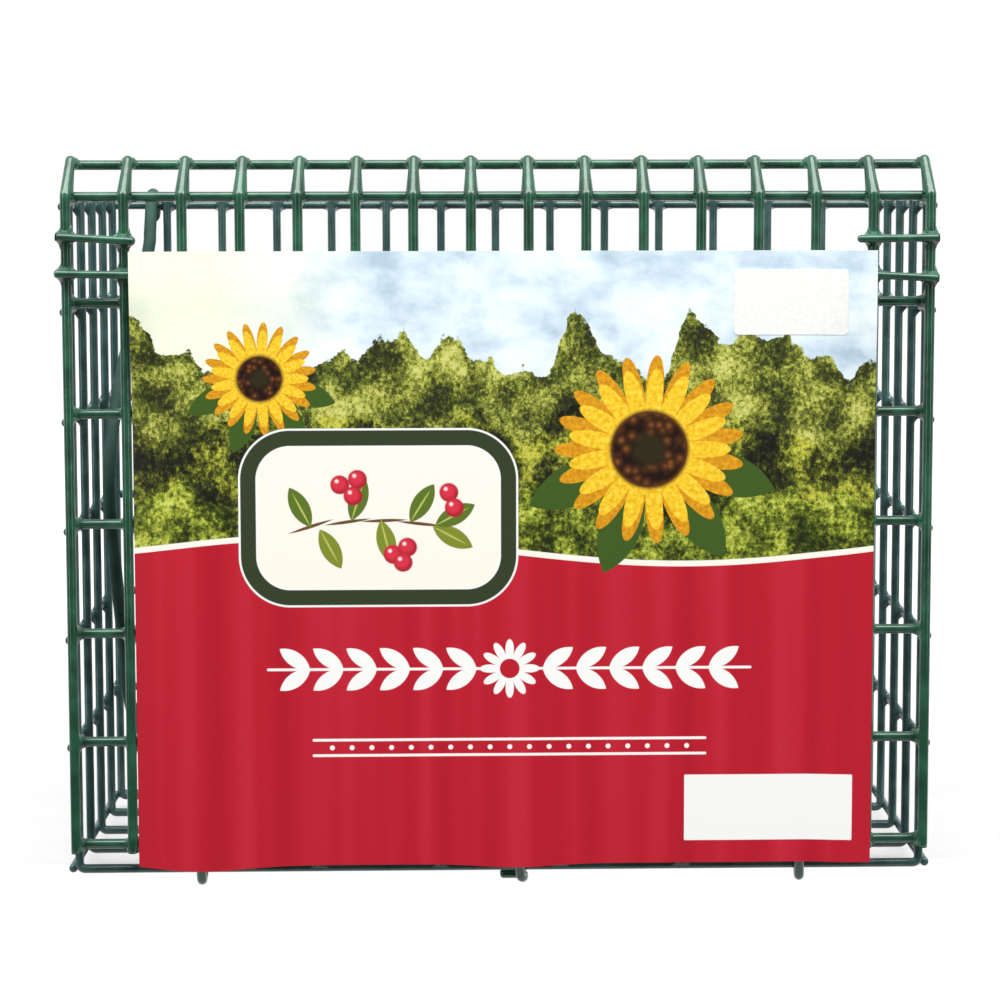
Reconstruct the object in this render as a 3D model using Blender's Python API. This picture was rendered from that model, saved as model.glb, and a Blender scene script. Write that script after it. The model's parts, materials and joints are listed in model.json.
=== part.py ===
"""Suet feeder: a cage of coated welded wire with a bottom-hinged door and a cable hanger.

Units are metres and +Z is up.  Every wire is a bevelled curve laid through its bend points.
The places of all pieces are measured from the hinge axis, which is the centre line of the
front rim bar: x runs along it, y goes back into the basket, z goes up.
"""
import math

import bmesh
import bpy
from mathutils import Vector

MM = 0.001

# Coated wire
body_wire_radius = 1.0 * MM
upright_radius = 1.15 * MM
bar_radius = 1.1 * MM
hook_radius = 1.15 * MM
weld_gap = 0.05 * MM
rest_gap = 0.15 * MM
tip_radius_share = 0.55
tip_length_share = 0.5
bend_steps = 4

# Door: uprights, bars and flange
upright_count = 16
upright_pitch = 12.7 * MM
bar_rows = 7
bar_pitch = 24.65 * MM
edge_bar_step = 23.45 * MM
edge_bar_steps = 2
bottom_bar_height = 6.5 * MM
upright_foot_overrun = 0.35 * MM
bar_end_overrun = 1.4 * MM
flange_rise = 7.5 * MM
flange_reach = 7.5 * MM
flange_tip_overrun = 0.2 * MM
flange_bend_radius = 3.0 * MM

# Door: catch stubs, each with its drop below the top bar at its inner and outer end
stub_inner_reach = 2.8 * MM
stub_outer_reach = 2.7 * MM
left_upper_inner_drop = 9.7 * MM
left_upper_outer_drop = 8.7 * MM
left_lower_inner_drop = 17.1 * MM
left_lower_outer_drop = 16.8 * MM
right_upper_inner_drop = 9.5 * MM
right_upper_outer_drop = 9.3 * MM
right_lower_inner_drop = 17.3 * MM
right_lower_outer_drop = 18.2 * MM

# Door: hinge hooks
hook_clearance = 0.45 * MM
hook_top_overrun = 3.6 * MM
hook_shoulder_drop = 2.9 * MM
hook_return_height = 2.2 * MM
hook_tail_length = 5.0 * MM
hook_tail_angle = math.radians(42.0)
hook_tail_turn_share = 0.33
hook_tail_rise_share = 0.5
hook_arc_steps = 10
left_hook_upright = 2
left_hook_gap = 0.8 * MM
left_hook_lean = 0.1 * MM
middle_hook_upright = 8
middle_hook_gap = 0.15 * MM
middle_hook_lean = 1.3 * MM
right_hook_upright = 13
right_hook_gap = 0.15 * MM
right_hook_lean = 1.0 * MM

# Door: printed card
card_left_upright = 1
card_curl_upright = 2
card_right_upright = 14
card_left_clearance = 0.3 * MM
card_right_overrun = 0.7 * MM
card_foot_drop = 3.8 * MM
card_top_drop = 12.2 * MM
card_thickness = 0.45 * MM
card_curl_margin = 0.35 * MM
card_curl_depth = 1.0 * MM
card_curl_steps = 6
card_lift_width = 10.0 * MM
card_lift_margin = 0.5 * MM

# Basket: loops across the floor, and one hoop a little below the height of each door bar
leg_outset = 0.2 * MM
loop_count = 5
loop_pitch = 13.75 * MM
loop_bend_radius = 1.3 * MM
hoop_drop = 2.2 * MM
wire_top_overrun = 0.4 * MM
back_wire_count = 15
floor_wire_columns = (4, 6, 8, 10)
floor_bend_radius = 3.0 * MM
floor_front_overrun = 0.1 * MM
foot_gap = 0.15 * MM

# Hanger cable
cable_radius = 1.55 * MM
turn_clearance = 0.3 * MM
turn_inset = 9.9 * MM
turn_set_in = 5.6 * MM
turn_drop = 6.4 * MM
turn_tail_length = 1.2 * MM
turn_arc_steps = 12
bead_radius_share = 1.1
cable_joint_gap = 0.3 * MM
cable_lead_in = 3.0 * MM
cable_route = (
    (-86.4, 48.2, 135.0),
    (-88.6, 42.5, 121.5),
    (-90.6, 32.0, 106.0),
    (-91.5, 23.0, 87.0),
    (-91.5, 28.0, 67.0),
    (-91.3, 36.5, 46.0),
    (-90.6, 43.0, 26.0),
    (-86.6, 48.0, 11.5),
    (-76.0, 50.0, 5.6),
    (-58.0, 50.4, 4.75),
    (-36.0, 50.5, 4.75),
    (-10.0, 50.5, 4.75),
    (18.0, 50.0, 4.75),
    (38.5, 48.0, 4.75),
    (48.0, 46.9, 3.6),
    (54.0, 46.5, 2.9),
    (59.0, 46.4, 2.8),
)
cable_point_count = 78
sleeve_half_width = 3.5 * MM
sleeve_half_height = 1.9 * MM
sleeve_length = 9.0 * MM
sleeve_sides = 16
eye_length = 13.0 * MM
eye_half_width = 2.6 * MM
eye_root_gap = 0.3 * MM
eye_half_turn = math.radians(112.0)
eye_arc_steps = 10

# Bevel resolution of an eight-sided wire, and the turn that makes its facets face the axes
wire_bevel_resolution = 2
wire_bevel_tilt = math.radians(22.5)

# Planes that follow from the sizes above
leg_plane = 0.0
bar_plane = leg_plane - body_wire_radius - bar_radius - rest_gap
upright_plane = bar_plane - bar_radius - upright_radius - weld_gap
stub_plane = upright_plane - upright_radius - bar_radius - weld_gap
door_half_width = upright_pitch * (upright_count - 1) / 2
leg_x = door_half_width + leg_outset
inner_bar_steps = bar_rows - 1 - edge_bar_steps
top_bar_height = bottom_bar_height + edge_bar_steps * edge_bar_step + inner_bar_steps * bar_pitch
basket_height = top_bar_height - hoop_drop
turn_x = turn_inset - leg_x
body_step = 2 * body_wire_radius + weld_gap
hoop_x = leg_x + body_step
back_plane = leg_plane + loop_pitch * (loop_count - 1)
hoop_back_plane = back_plane + body_step
hook_bend_radius = body_wire_radius + hook_clearance + hook_radius
hinge_height = hook_bend_radius + hook_radius
turn_radius = body_wire_radius + turn_clearance + cable_radius
rear_face = hoop_back_plane + turn_radius + cable_radius
card_back = upright_plane - upright_radius - weld_gap
card_lift = 2 * (bar_radius + weld_gap)
front_face = card_back - card_lift - card_thickness
hinge_y = -(rear_face + front_face) / 2


def clear_scene():
    """Remove every object so that the script can be run again."""
    for item in list(bpy.data.objects):
        bpy.data.objects.remove(item, do_unlink=True)


def finish(name, colour, roughness, metallic):
    """Principled material of one colour for one piece."""
    material = bpy.data.materials.new(name)
    material.use_nodes = True
    shader = material.node_tree.nodes["Principled BSDF"]
    shader.inputs["Base Color"].default_value = colour
    shader.inputs["Roughness"].default_value = roughness
    shader.inputs["Metallic"].default_value = metallic
    material.diffuse_color = colour
    return material


def green_coating(name):
    """Deep green coating of the welded wire."""
    return finish(name, (0.013, 0.105, 0.045, 1.0), 0.28, 0.0)


def cable_coating(name):
    """Darker, smoother green sheath of the hanger cable."""
    return finish(name, (0.012, 0.055, 0.035, 1.0), 0.32, 0.0)


def add_object(name, data, parent, material):
    """Link one object under its parent and give it its own material."""
    item = bpy.data.objects.new(name, data)
    item.data.materials.append(material)
    item.parent = parent
    bpy.context.collection.objects.link(item)
    return item


def empty(name, parent, place):
    """Empty that carries the pieces of one body."""
    item = bpy.data.objects.new(name, None)
    item.parent = parent
    item.location = place
    bpy.context.collection.objects.link(item)
    return item


def rounded(route, radius, steps=bend_steps):
    """Route with each inner corner turned into an arc of the given radius."""
    points = [Vector(point) for point in route]
    result = [points[0]]
    for before, corner, after in zip(points, points[1:], points[2:]):
        into = (corner - before).normalized()
        out = (after - corner).normalized()
        turn = into.angle(out)
        setback = radius * math.tan(turn / 2)
        start = corner - into * setback
        centre_direction = (out - into).normalized()
        centre = corner + centre_direction * (radius / math.cos(turn / 2))
        axis = into.cross(out).normalized()
        arm = start - centre
        for step in range(steps + 1):
            angle = turn * step / steps
            swung = arm * math.cos(angle) + axis.cross(arm) * math.sin(angle)
            result.append(centre + swung)
    result.append(points[-1])
    return result


def eased(share):
    """Share from 0 to 1 that starts and ends level."""
    return share ** 2 * (3 - 2 * share)


def smooth_through(route, count):
    """Evenly numbered points on a smooth curve through the route points."""
    points = [Vector(point) for point in route]
    padded = [points[0] * 2 - points[1]] + points + [points[-1] * 2 - points[-2]]
    spans = len(points) - 1
    result = []
    for index in range(count):
        place = spans * index / (count - 1)
        span = min(int(place), spans - 1)
        share = place - span
        before, start, end, after = padded[span:span + 4]
        pull_out = (end - before) / 2 * share * (1 - share) ** 2
        pull_in = (after - start) / 2 * share ** 2 * (1 - share)
        result.append(start + (end - start) * eased(share) + pull_out - pull_in)
    return result


def wire(name, route, radius, parent, material, ends=(True, True), end_share=tip_radius_share):
    """One coated wire along a route, with its ends rounded by the coating."""
    points = [Vector(point) for point in route]
    shares = [1.0] * len(points)
    inset = radius * tip_length_share
    if ends[0]:
        first = (points[1] - points[0]).normalized()
        points.insert(1, points[0] + first * inset)
        shares = [tip_radius_share] + shares
    if ends[1]:
        last = (points[-2] - points[-1]).normalized()
        points.insert(-1, points[-1] + last * inset)
        shares = shares + [end_share]
    curve = bpy.data.curves.new(name, type='CURVE')
    curve.dimensions = '3D'
    curve.bevel_depth = radius
    curve.bevel_resolution = wire_bevel_resolution
    curve.use_fill_caps = True
    curve.render_resolution_u = 0
    curve.twist_mode = 'MINIMUM'
    spline = curve.splines.new('POLY')
    spline.points.add(len(points) - 1)
    for knot, point, share in zip(spline.points, points, shares):
        knot.co = (point.x, point.y, point.z, 1.0)
        knot.radius = share
        knot.tilt = wire_bevel_tilt
    return add_object(name, curve, parent, material)


def upright_x(index):
    """Place of a door upright along the hinge axis, counted from the left."""
    return upright_pitch * index - door_half_width


def bar_height(row):
    """Height of a door bar, counted from the bottom bar."""
    if row == 0:
        return bottom_bar_height
    if row == bar_rows - 1:
        return top_bar_height
    return bottom_bar_height + edge_bar_step + bar_pitch * (row - 1)


def build_uprights(parent):
    """Sixteen front wires, each bent back at the top into the flange."""
    foot = bottom_bar_height - bar_radius - upright_foot_overrun
    knee = top_bar_height + bar_radius
    flange = Vector((0.0, flange_reach, flange_rise))
    reach = flange + flange.normalized() * flange_tip_overrun
    for index in range(upright_count):
        x = upright_x(index)
        bend = Vector((x, upright_plane, knee))
        route = rounded([(x, upright_plane, foot), bend, bend + reach], flange_bend_radius)
        name = f"door_upright_{index + 1:02d}"
        wire(name, route, upright_radius, parent, green_coating(name))


def build_bars(parent):
    """Seven bars behind the uprights and the ridge bar under the flange."""
    reach = door_half_width + bar_end_overrun
    for row in range(bar_rows):
        height = bar_height(row)
        route = [(-reach, bar_plane, height), (reach, bar_plane, height)]
        name = f"door_bar_{row + 1}"
        wire(name, route, bar_radius, parent, green_coating(name))
    knee = top_bar_height + bar_radius
    flange = Vector((0.0, flange_reach, flange_rise))
    inward = Vector((0.0, flange_rise, -flange_reach)).normalized()
    ridge = Vector((0.0, upright_plane, knee)) + flange
    ridge += inward * (upright_radius + bar_radius + weld_gap)
    across = Vector((reach, 0.0, 0.0))
    name = "door_ridge_bar"
    wire(name, [ridge - across, ridge + across], bar_radius, parent, green_coating(name))


def build_stubs(parent):
    """Two short catch bars on each side, welded a little askew over the two outer uprights."""
    inner = door_half_width - upright_pitch - stub_inner_reach
    outer = door_half_width + stub_outer_reach
    table = (
        ("door_stub_left_upper", -1, left_upper_inner_drop, left_upper_outer_drop),
        ("door_stub_left_lower", -1, left_lower_inner_drop, left_lower_outer_drop),
        ("door_stub_right_upper", 1, right_upper_inner_drop, right_upper_outer_drop),
        ("door_stub_right_lower", 1, right_lower_inner_drop, right_lower_outer_drop),
    )
    for name, side, inner_drop, outer_drop in table:
        route = [
            (side * inner, stub_plane, top_bar_height - inner_drop),
            (side * outer, stub_plane, top_bar_height - outer_drop),
        ]
        wire(name, route, bar_radius, parent, green_coating(name))


def hook_route(top_x, lean, tail):
    """J-shaped route round the rim bar; the middle hook turns aside instead of rising."""
    shoulder = bottom_bar_height - hook_shoulder_drop
    low_x = top_x + lean
    route = [
        Vector((top_x, upright_plane, bottom_bar_height + hook_top_overrun)),
        Vector((top_x, upright_plane, shoulder)),
    ]
    sweep = math.pi - (hook_tail_angle if tail else 0.0)
    for step in range(hook_arc_steps + 1):
        angle = sweep * step / hook_arc_steps
        x = top_x + lean * min(1.0, 2 * step / hook_arc_steps)
        y = -hook_bend_radius * math.cos(angle)
        z = -hook_bend_radius * math.sin(angle)
        route.append(Vector((x, y, z)))
    if tail:
        end = route[-1]
        corner = hook_radius + hook_clearance
        turn = corner * hook_tail_turn_share
        rise = corner * hook_tail_rise_share
        route.append(end + Vector((-turn, turn, turn)))
        route.append(end + Vector((-corner, rise, rise)))
        route.append(end + Vector((-hook_tail_length, rise, rise)))
    else:
        route.append(Vector((low_x, hook_bend_radius, hook_return_height)))
    return route


def build_hooks(parent):
    """Three hinge hooks welded beside uprights and bent round the rim bar."""
    table = (
        ("door_hook_left", left_hook_upright, 1, left_hook_gap, left_hook_lean, False),
        ("door_hook_middle", middle_hook_upright, -1, middle_hook_gap, middle_hook_lean, True),
        ("door_hook_right", right_hook_upright, -1, right_hook_gap, right_hook_lean, False),
    )
    for name, index, side, gap, lean, tail in table:
        offset = side * (upright_radius + hook_radius + gap)
        route = hook_route(upright_x(index) + offset, lean, tail)
        wire(name, route, hook_radius, parent, green_coating(name))


def build_card(parent):
    """Printed card: its left edge curls back, its right edge rises over the catch stubs."""
    left = upright_x(card_left_upright) + upright_radius + card_left_clearance
    right = upright_x(card_right_upright) + card_right_overrun
    curl_end = upright_x(card_curl_upright) - upright_radius - card_curl_margin
    lift_end = door_half_width - upright_pitch - stub_inner_reach - card_lift_margin
    foot = bottom_bar_height - card_foot_drop
    height = top_bar_height - card_top_drop - foot
    front_line = []
    for step in range(card_curl_steps + 1):
        share = 1 - step / card_curl_steps
        x = left + (curl_end - left) * (1 - share)
        front_line.append((x, card_back + card_curl_depth * share ** 2))
    for step in range(card_curl_steps + 1):
        share = step / card_curl_steps
        x = lift_end - card_lift_width * (1 - share)
        front_line.append((x, card_back - card_lift * eased(share)))
    front_line.append((right, card_back - card_lift))
    outline = front_line + [(x, y - card_thickness) for x, y in reversed(front_line)]
    mesh_builder = bmesh.new()
    corners = [mesh_builder.verts.new((x, y, foot)) for x, y in outline]
    face = mesh_builder.faces.new(corners)
    grown = bmesh.ops.extrude_face_region(mesh_builder, geom=[face])
    risen = [item for item in grown["geom"] if isinstance(item, bmesh.types.BMVert)]
    bmesh.ops.translate(mesh_builder, vec=(0.0, 0.0, height), verts=risen)
    bmesh.ops.recalc_face_normals(mesh_builder, faces=mesh_builder.faces[:])
    mesh = bpy.data.meshes.new("door_card")
    mesh_builder.to_mesh(mesh)
    mesh_builder.free()
    add_object("door_card", mesh, parent, finish("door_card", (0.52, 0.02, 0.03, 1.0), 0.35, 0.0))


def build_loops(parent):
    """U-shaped wires: left wall, floor and right wall in one length each."""
    top = basket_height + body_wire_radius + wire_top_overrun
    for index in range(loop_count):
        y = leg_plane + loop_pitch * index
        corners = [(-leg_x, y, top), (-leg_x, y, 0.0), (leg_x, y, 0.0), (leg_x, y, top)]
        name = f"basket_loop_{index + 1}"
        wire(name, rounded(corners, loop_bend_radius), body_wire_radius, parent,
             green_coating(name))


def build_hoops(parent):
    """Wires round the left wall, the back and the right wall; the lowest is level with the floor."""
    front = leg_plane - body_wire_radius
    for row in range(bar_rows):
        z = bar_height(row) - hoop_drop if row else 0.0
        corners = [
            (-hoop_x, front, z),
            (-hoop_x, hoop_back_plane, z),
            (hoop_x, hoop_back_plane, z),
            (hoop_x, front, z),
        ]
        name = f"basket_hoop_{row + 1}"
        wire(name, rounded(corners, body_step), body_wire_radius, parent, green_coating(name))


def build_back_wires(parent):
    """Back uprights; some bend forward at the foot and tie the floor to the rim bar."""
    top = basket_height + body_wire_radius + wire_top_overrun
    pitch = 2 * leg_x / (back_wire_count - 1)
    foot = body_wire_radius + foot_gap
    front = leg_plane - body_wire_radius - floor_front_overrun
    for column in range(1, back_wire_count - 1):
        x = pitch * column - leg_x
        if column in floor_wire_columns:
            corners = [(x, back_plane, top), (x, back_plane, body_step), (x, front, body_step)]
            route = rounded(corners, floor_bend_radius)
        else:
            route = [(x, back_plane, top), (x, back_plane, foot)]
        name = f"basket_back_wire_{column:02d}"
        wire(name, route, body_wire_radius, parent, green_coating(name))


def turn_start():
    """Lower end of the cable's turn, set in from the top bar and below it."""
    return Vector((turn_x, hoop_back_plane - turn_set_in, basket_height - turn_drop))


def turn_route():
    """Turn of the cable end over, behind and under the back top bar."""
    bar = Vector((turn_x, hoop_back_plane, basket_height))
    start = turn_start()
    span = math.hypot(turn_set_in, turn_drop)
    rise = math.atan2(turn_drop, turn_set_in) + math.asin(turn_radius / span)
    first = rise + math.pi / 2
    sweep = first + math.pi / 2
    route = [start]
    for step in range(turn_arc_steps + 1):
        share = step / turn_arc_steps
        angle = first - sweep * share
        arm = Vector((0.0, math.cos(angle), math.sin(angle))) * turn_radius
        route.append(bar + arm)
    route.append(route[-1] + Vector((0.0, -turn_tail_length, 0.0)))
    return route


def cable_line():
    """Route of the free cable, which leaves the turn in line with it."""
    turn = turn_route()
    down = (turn[0] - turn[1]).normalized()
    start = turn[0] + down * cable_joint_gap
    return [start, start + down * cable_lead_in] + [Vector(point) * MM for point in cable_route]


def build_eye(parent):
    """Oval sleeve with the loop that ends the cable, lying on the floor wires."""
    line = smooth_through(cable_line(), cable_point_count)
    along = line[-1] - line[-2]
    along.z = 0.0
    along.normalize()
    aside = Vector((0.0, 0.0, 1.0)).cross(along).normalized()
    upward = along.cross(aside)
    near = line[-1] + along * cable_joint_gap
    far = near + along * sleeve_length
    strand = aside * (cable_radius + eye_root_gap / 2)
    wide = eye_half_width + cable_radius
    centre = far + along * (eye_length - wide)
    route = [far - along * (sleeve_length / 2) - strand, far - strand]
    for step in range(eye_arc_steps + 1):
        angle = eye_half_turn * (2 * step / eye_arc_steps - 1)
        route.append(centre + (along * math.cos(angle) + aside * math.sin(angle)) * wide)
    route += [far + strand, far - along * (sleeve_length / 2) + strand]
    material = cable_coating("hanger_eye")
    loop = wire("hanger_eye_loop", route, cable_radius, parent, material, ends=(False, False))
    bpy.context.view_layer.update()
    graph = bpy.context.evaluated_depsgraph_get()
    loop_mesh = bpy.data.meshes.new_from_object(loop.evaluated_get(graph))
    bpy.data.objects.remove(loop, do_unlink=True)
    joined_loop = add_object("hanger_eye_loop", loop_mesh, parent, material)
    joined_loop.hide_render = True
    joined_loop.display_type = 'WIRE'

    builder = bmesh.new()
    bmesh.ops.create_cone(
        builder, cap_ends=True, segments=sleeve_sides,
        radius1=1.0, radius2=1.0, depth=1.0,
    )
    for vertex in builder.verts:
        place = (near + far) / 2 + along * (vertex.co.z * sleeve_length)
        place += aside * (vertex.co.x * sleeve_half_width)
        vertex.co = place + upward * (vertex.co.y * sleeve_half_height)
    bmesh.ops.recalc_face_normals(builder, faces=builder.faces[:])
    mesh = bpy.data.meshes.new("hanger_eye")
    builder.to_mesh(mesh)
    builder.free()
    sleeve = add_object("hanger_eye", mesh, parent, material)
    union = sleeve.modifiers.new("loop", 'BOOLEAN')
    union.operation = 'UNION'
    union.solver = 'EXACT'
    union.object = joined_loop


def build_hanger(parent):
    """Hanger cable with its turn round the top bar and its free end eye."""
    wire("hanger_turn", turn_route(), cable_radius, parent, cable_coating("hanger_turn"),
         ends=(False, True), end_share=bead_radius_share)
    wire("hanger_cable", smooth_through(cable_line(), cable_point_count), cable_radius, parent,
         cable_coating("hanger_cable"), ends=(False, False))
    build_eye(parent)


def main():
    """Build the basket, the door on its pivot and the hanger."""
    clear_scene()
    feeder = empty("feeder", None, (0.0, hinge_y, hinge_height))
    door = empty("door_pivot", feeder, (0.0, 0.0, 0.0))
    build_loops(feeder)
    build_hoops(feeder)
    build_back_wires(feeder)
    build_hanger(feeder)
    build_uprights(door)
    build_bars(door)
    build_stubs(door)
    build_hooks(door)
    build_card(door)


main()
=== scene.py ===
"""Looks of the suet feeder: a dip coated wire cage with a hinged door, a card and a cable.

The frame gives the bodies and the hinge line.  Every wire is drawn again with the fillets that
the dip coat leaves at each weld, the cable and its ends are laid again, and the card is drawn
again with a generic print.
"""
from __future__ import annotations

import json
import logging
import math
from collections.abc import Callable, Sequence
from dataclasses import dataclass, field
from enum import Enum
from typing import Union

import bmesh
import bpy
from bpy.types import Material, Node, NodeSocket, NodeTree, Object
from mathutils import Euler, Matrix, Vector

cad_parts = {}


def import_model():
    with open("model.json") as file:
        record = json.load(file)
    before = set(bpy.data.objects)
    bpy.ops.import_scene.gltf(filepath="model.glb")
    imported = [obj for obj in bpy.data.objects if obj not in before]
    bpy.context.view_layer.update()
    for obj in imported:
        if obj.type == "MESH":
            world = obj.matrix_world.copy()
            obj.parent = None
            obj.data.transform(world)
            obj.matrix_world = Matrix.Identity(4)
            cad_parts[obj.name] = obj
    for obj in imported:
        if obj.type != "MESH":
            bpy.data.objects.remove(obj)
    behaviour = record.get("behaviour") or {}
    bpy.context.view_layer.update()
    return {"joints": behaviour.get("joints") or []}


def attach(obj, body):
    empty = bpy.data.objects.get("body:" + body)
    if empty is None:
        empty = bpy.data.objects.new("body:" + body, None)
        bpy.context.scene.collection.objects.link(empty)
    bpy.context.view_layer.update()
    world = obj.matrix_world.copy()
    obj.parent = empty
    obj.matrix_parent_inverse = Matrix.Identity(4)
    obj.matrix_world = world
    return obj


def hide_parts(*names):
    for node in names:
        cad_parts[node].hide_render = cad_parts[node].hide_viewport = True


Source = Union[Node, NodeSocket]
Stops = Sequence[tuple[float, str]]
Box = tuple[float, float, float, float]
Point = tuple[float, float, float]

MM = 0.001
LOG = logging.getLogger("suet_feeder")
ACROSS = Vector((1.0, 0.0, 0.0))
BACK = Vector((0.0, 1.0, 0.0))
UP = Vector((0.0, 0.0, 1.0))
# Sharpest turn between faces that still shades smooth, for wires and for sheets
WIRE_SMOOTHING = math.radians(50.0)
SHEET_SMOOTHING = math.radians(40.0)


class Body(Enum):
    """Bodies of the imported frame."""

    BASKET = "basket"
    DOOR = "door"


class Slot(Enum):
    """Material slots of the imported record."""

    COATING = "green_coating"
    SHEATH = "cable_sheath"
    CARD = "printed_card"


def srgb(code: str) -> tuple[float, float, float, float]:
    """Turn an sRGB hex colour into linear RGBA.

    Args:
        code: Six hex digits.

    Returns:
        Linear red, green and blue, and full alpha.
    """
    parts = [int(code[place:place + 2], 16) / 255 for place in (0, 2, 4)]
    linear = [
        part / 12.92 if part <= 0.04045 else ((part + 0.055) / 1.055) ** 2.4
        for part in parts
    ]
    return (*linear, 1.0)


def set_inputs(node: Node, inputs: dict[str | int, object]) -> None:
    """Give the inputs of a node their values and links.

    Args:
        node: Node to set.
        inputs: Value or source of each input. A node as source stands for its first output.
    """
    for socket, source in inputs.items():
        if isinstance(source, Node):
            source = source.outputs[0]
        if isinstance(source, NodeSocket):
            node.id_data.links.new(source, node.inputs[socket])
        else:
            node.inputs[socket].default_value = source


def add_node(tree: NodeTree, kind: str, inputs: dict[str | int, object] | None = None,
             **settings: object) -> Node:
    """Add one shader node with its settings, values and links.

    Args:
        tree: Node tree that gets the node.
        kind: Blender's name of the node type, without its first word ShaderNode.
        inputs: Value or source of each input, as set_inputs takes them.
        settings: Attributes of the node.

    Returns:
        The new node.
    """
    node = tree.nodes.new(f"ShaderNode{kind}")
    for name, value in settings.items():
        setattr(node, name, value)
    set_inputs(node, inputs or {})
    return node


def set_ramp(node: Node, stops: Stops) -> Node:
    """Give a colour ramp its stops.

    Args:
        node: Colour ramp node.
        stops: Position and sRGB hex colour of each stop, in order.

    Returns:
        The node.
    """
    elements = node.color_ramp.elements
    for place, _ in stops[2:]:
        elements.new(place)
    for element, (place, colour) in zip(elements, stops):
        element.position = place
        element.color = srgb(colour)
    return node


def new_material(name: str) -> tuple[Material, NodeTree, Node]:
    """Make a node material.

    Args:
        name: Name of the material.

    Returns:
        The material, its node tree and its Principled shader.
    """
    material = bpy.data.materials.new(name)
    material.use_nodes = True
    tree = material.node_tree
    return material, tree, tree.nodes["Principled BSDF"]


def pale_rays(tree: NodeTree) -> Source:
    """Tell the rays that see pale surroundings from those that light the object.

    Args:
        tree: Node tree of the surroundings.

    Returns:
        1 for rays of the camera, of reflections and through clear things, and 0 for others.
    """
    path = add_node(tree, "LightPath")
    seen: Source = path.outputs["Is Camera Ray"]
    for ray in ("Is Glossy Ray", "Is Transmission Ray"):
        seen = add_node(tree, "Math", {0: seen, 1: path.outputs[ray]},
                        operation="ADD", use_clamp=True)
    return seen


@dataclass(frozen=True)
class DipCoat:
    """Plasticised PVC, dip coated hot over welded steel wire.

    The coat is glossy and pools a little: its thickness wanders by a tenth over some
    millimetres, which the eye reads as wobbling highlights and slightly mottled green.
    The cable's sheath is the same plastic, extruded to a satin skin.
    """

    name: str
    thin: str = "2b5a44"
    full: str = "224b38"
    deep: str = "1a3d2c"
    # Width and depth of the pooling and of the fine skin on it
    pooling_mm: float = 5.0
    pooling_depth_mm: float = 0.12
    skin_mm: float = 0.9
    skin_depth_mm: float = 0.03
    roughness: float = 0.09
    roughness_swing: float = 0.1
    specular: float = 0.5
    ior: float = 1.53

    def material(self) -> Material:
        """Make the coat's material.

        Returns:
            The material.
        """
        material, tree, shader = new_material(self.name)
        place = add_node(tree, "TexCoord").outputs["Object"]
        pooling = add_node(tree, "TexNoise", {
            "Vector": place, "Scale": 1 / (self.pooling_mm * MM), "Detail": 2.0,
            "Roughness": 0.45})
        skin = add_node(tree, "TexNoise", {
            "Vector": place, "Scale": 1 / (self.skin_mm * MM), "Detail": 1.0})
        tone = set_ramp(add_node(tree, "ValToRGB", {"Fac": pooling}),
                        ((0.32, self.thin), (0.5, self.full), (0.72, self.deep)))
        gloss = add_node(tree, "MapRange", {
            "Value": pooling, "From Min": 0.3, "From Max": 0.7, "To Min": self.roughness,
            "To Max": self.roughness + self.roughness_swing})
        coarse = add_node(tree, "Bump", {
            "Height": pooling, "Strength": 0.5, "Distance": self.pooling_depth_mm * MM})
        fine = add_node(tree, "Bump", {
            "Height": skin, "Normal": coarse, "Strength": 0.25,
            "Distance": self.skin_depth_mm * MM})
        set_inputs(shader, {
            "Base Color": tone, "Roughness": gloss, "Normal": fine, "IOR": self.ior,
            "Specular IOR Level": self.specular})
        return material


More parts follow.
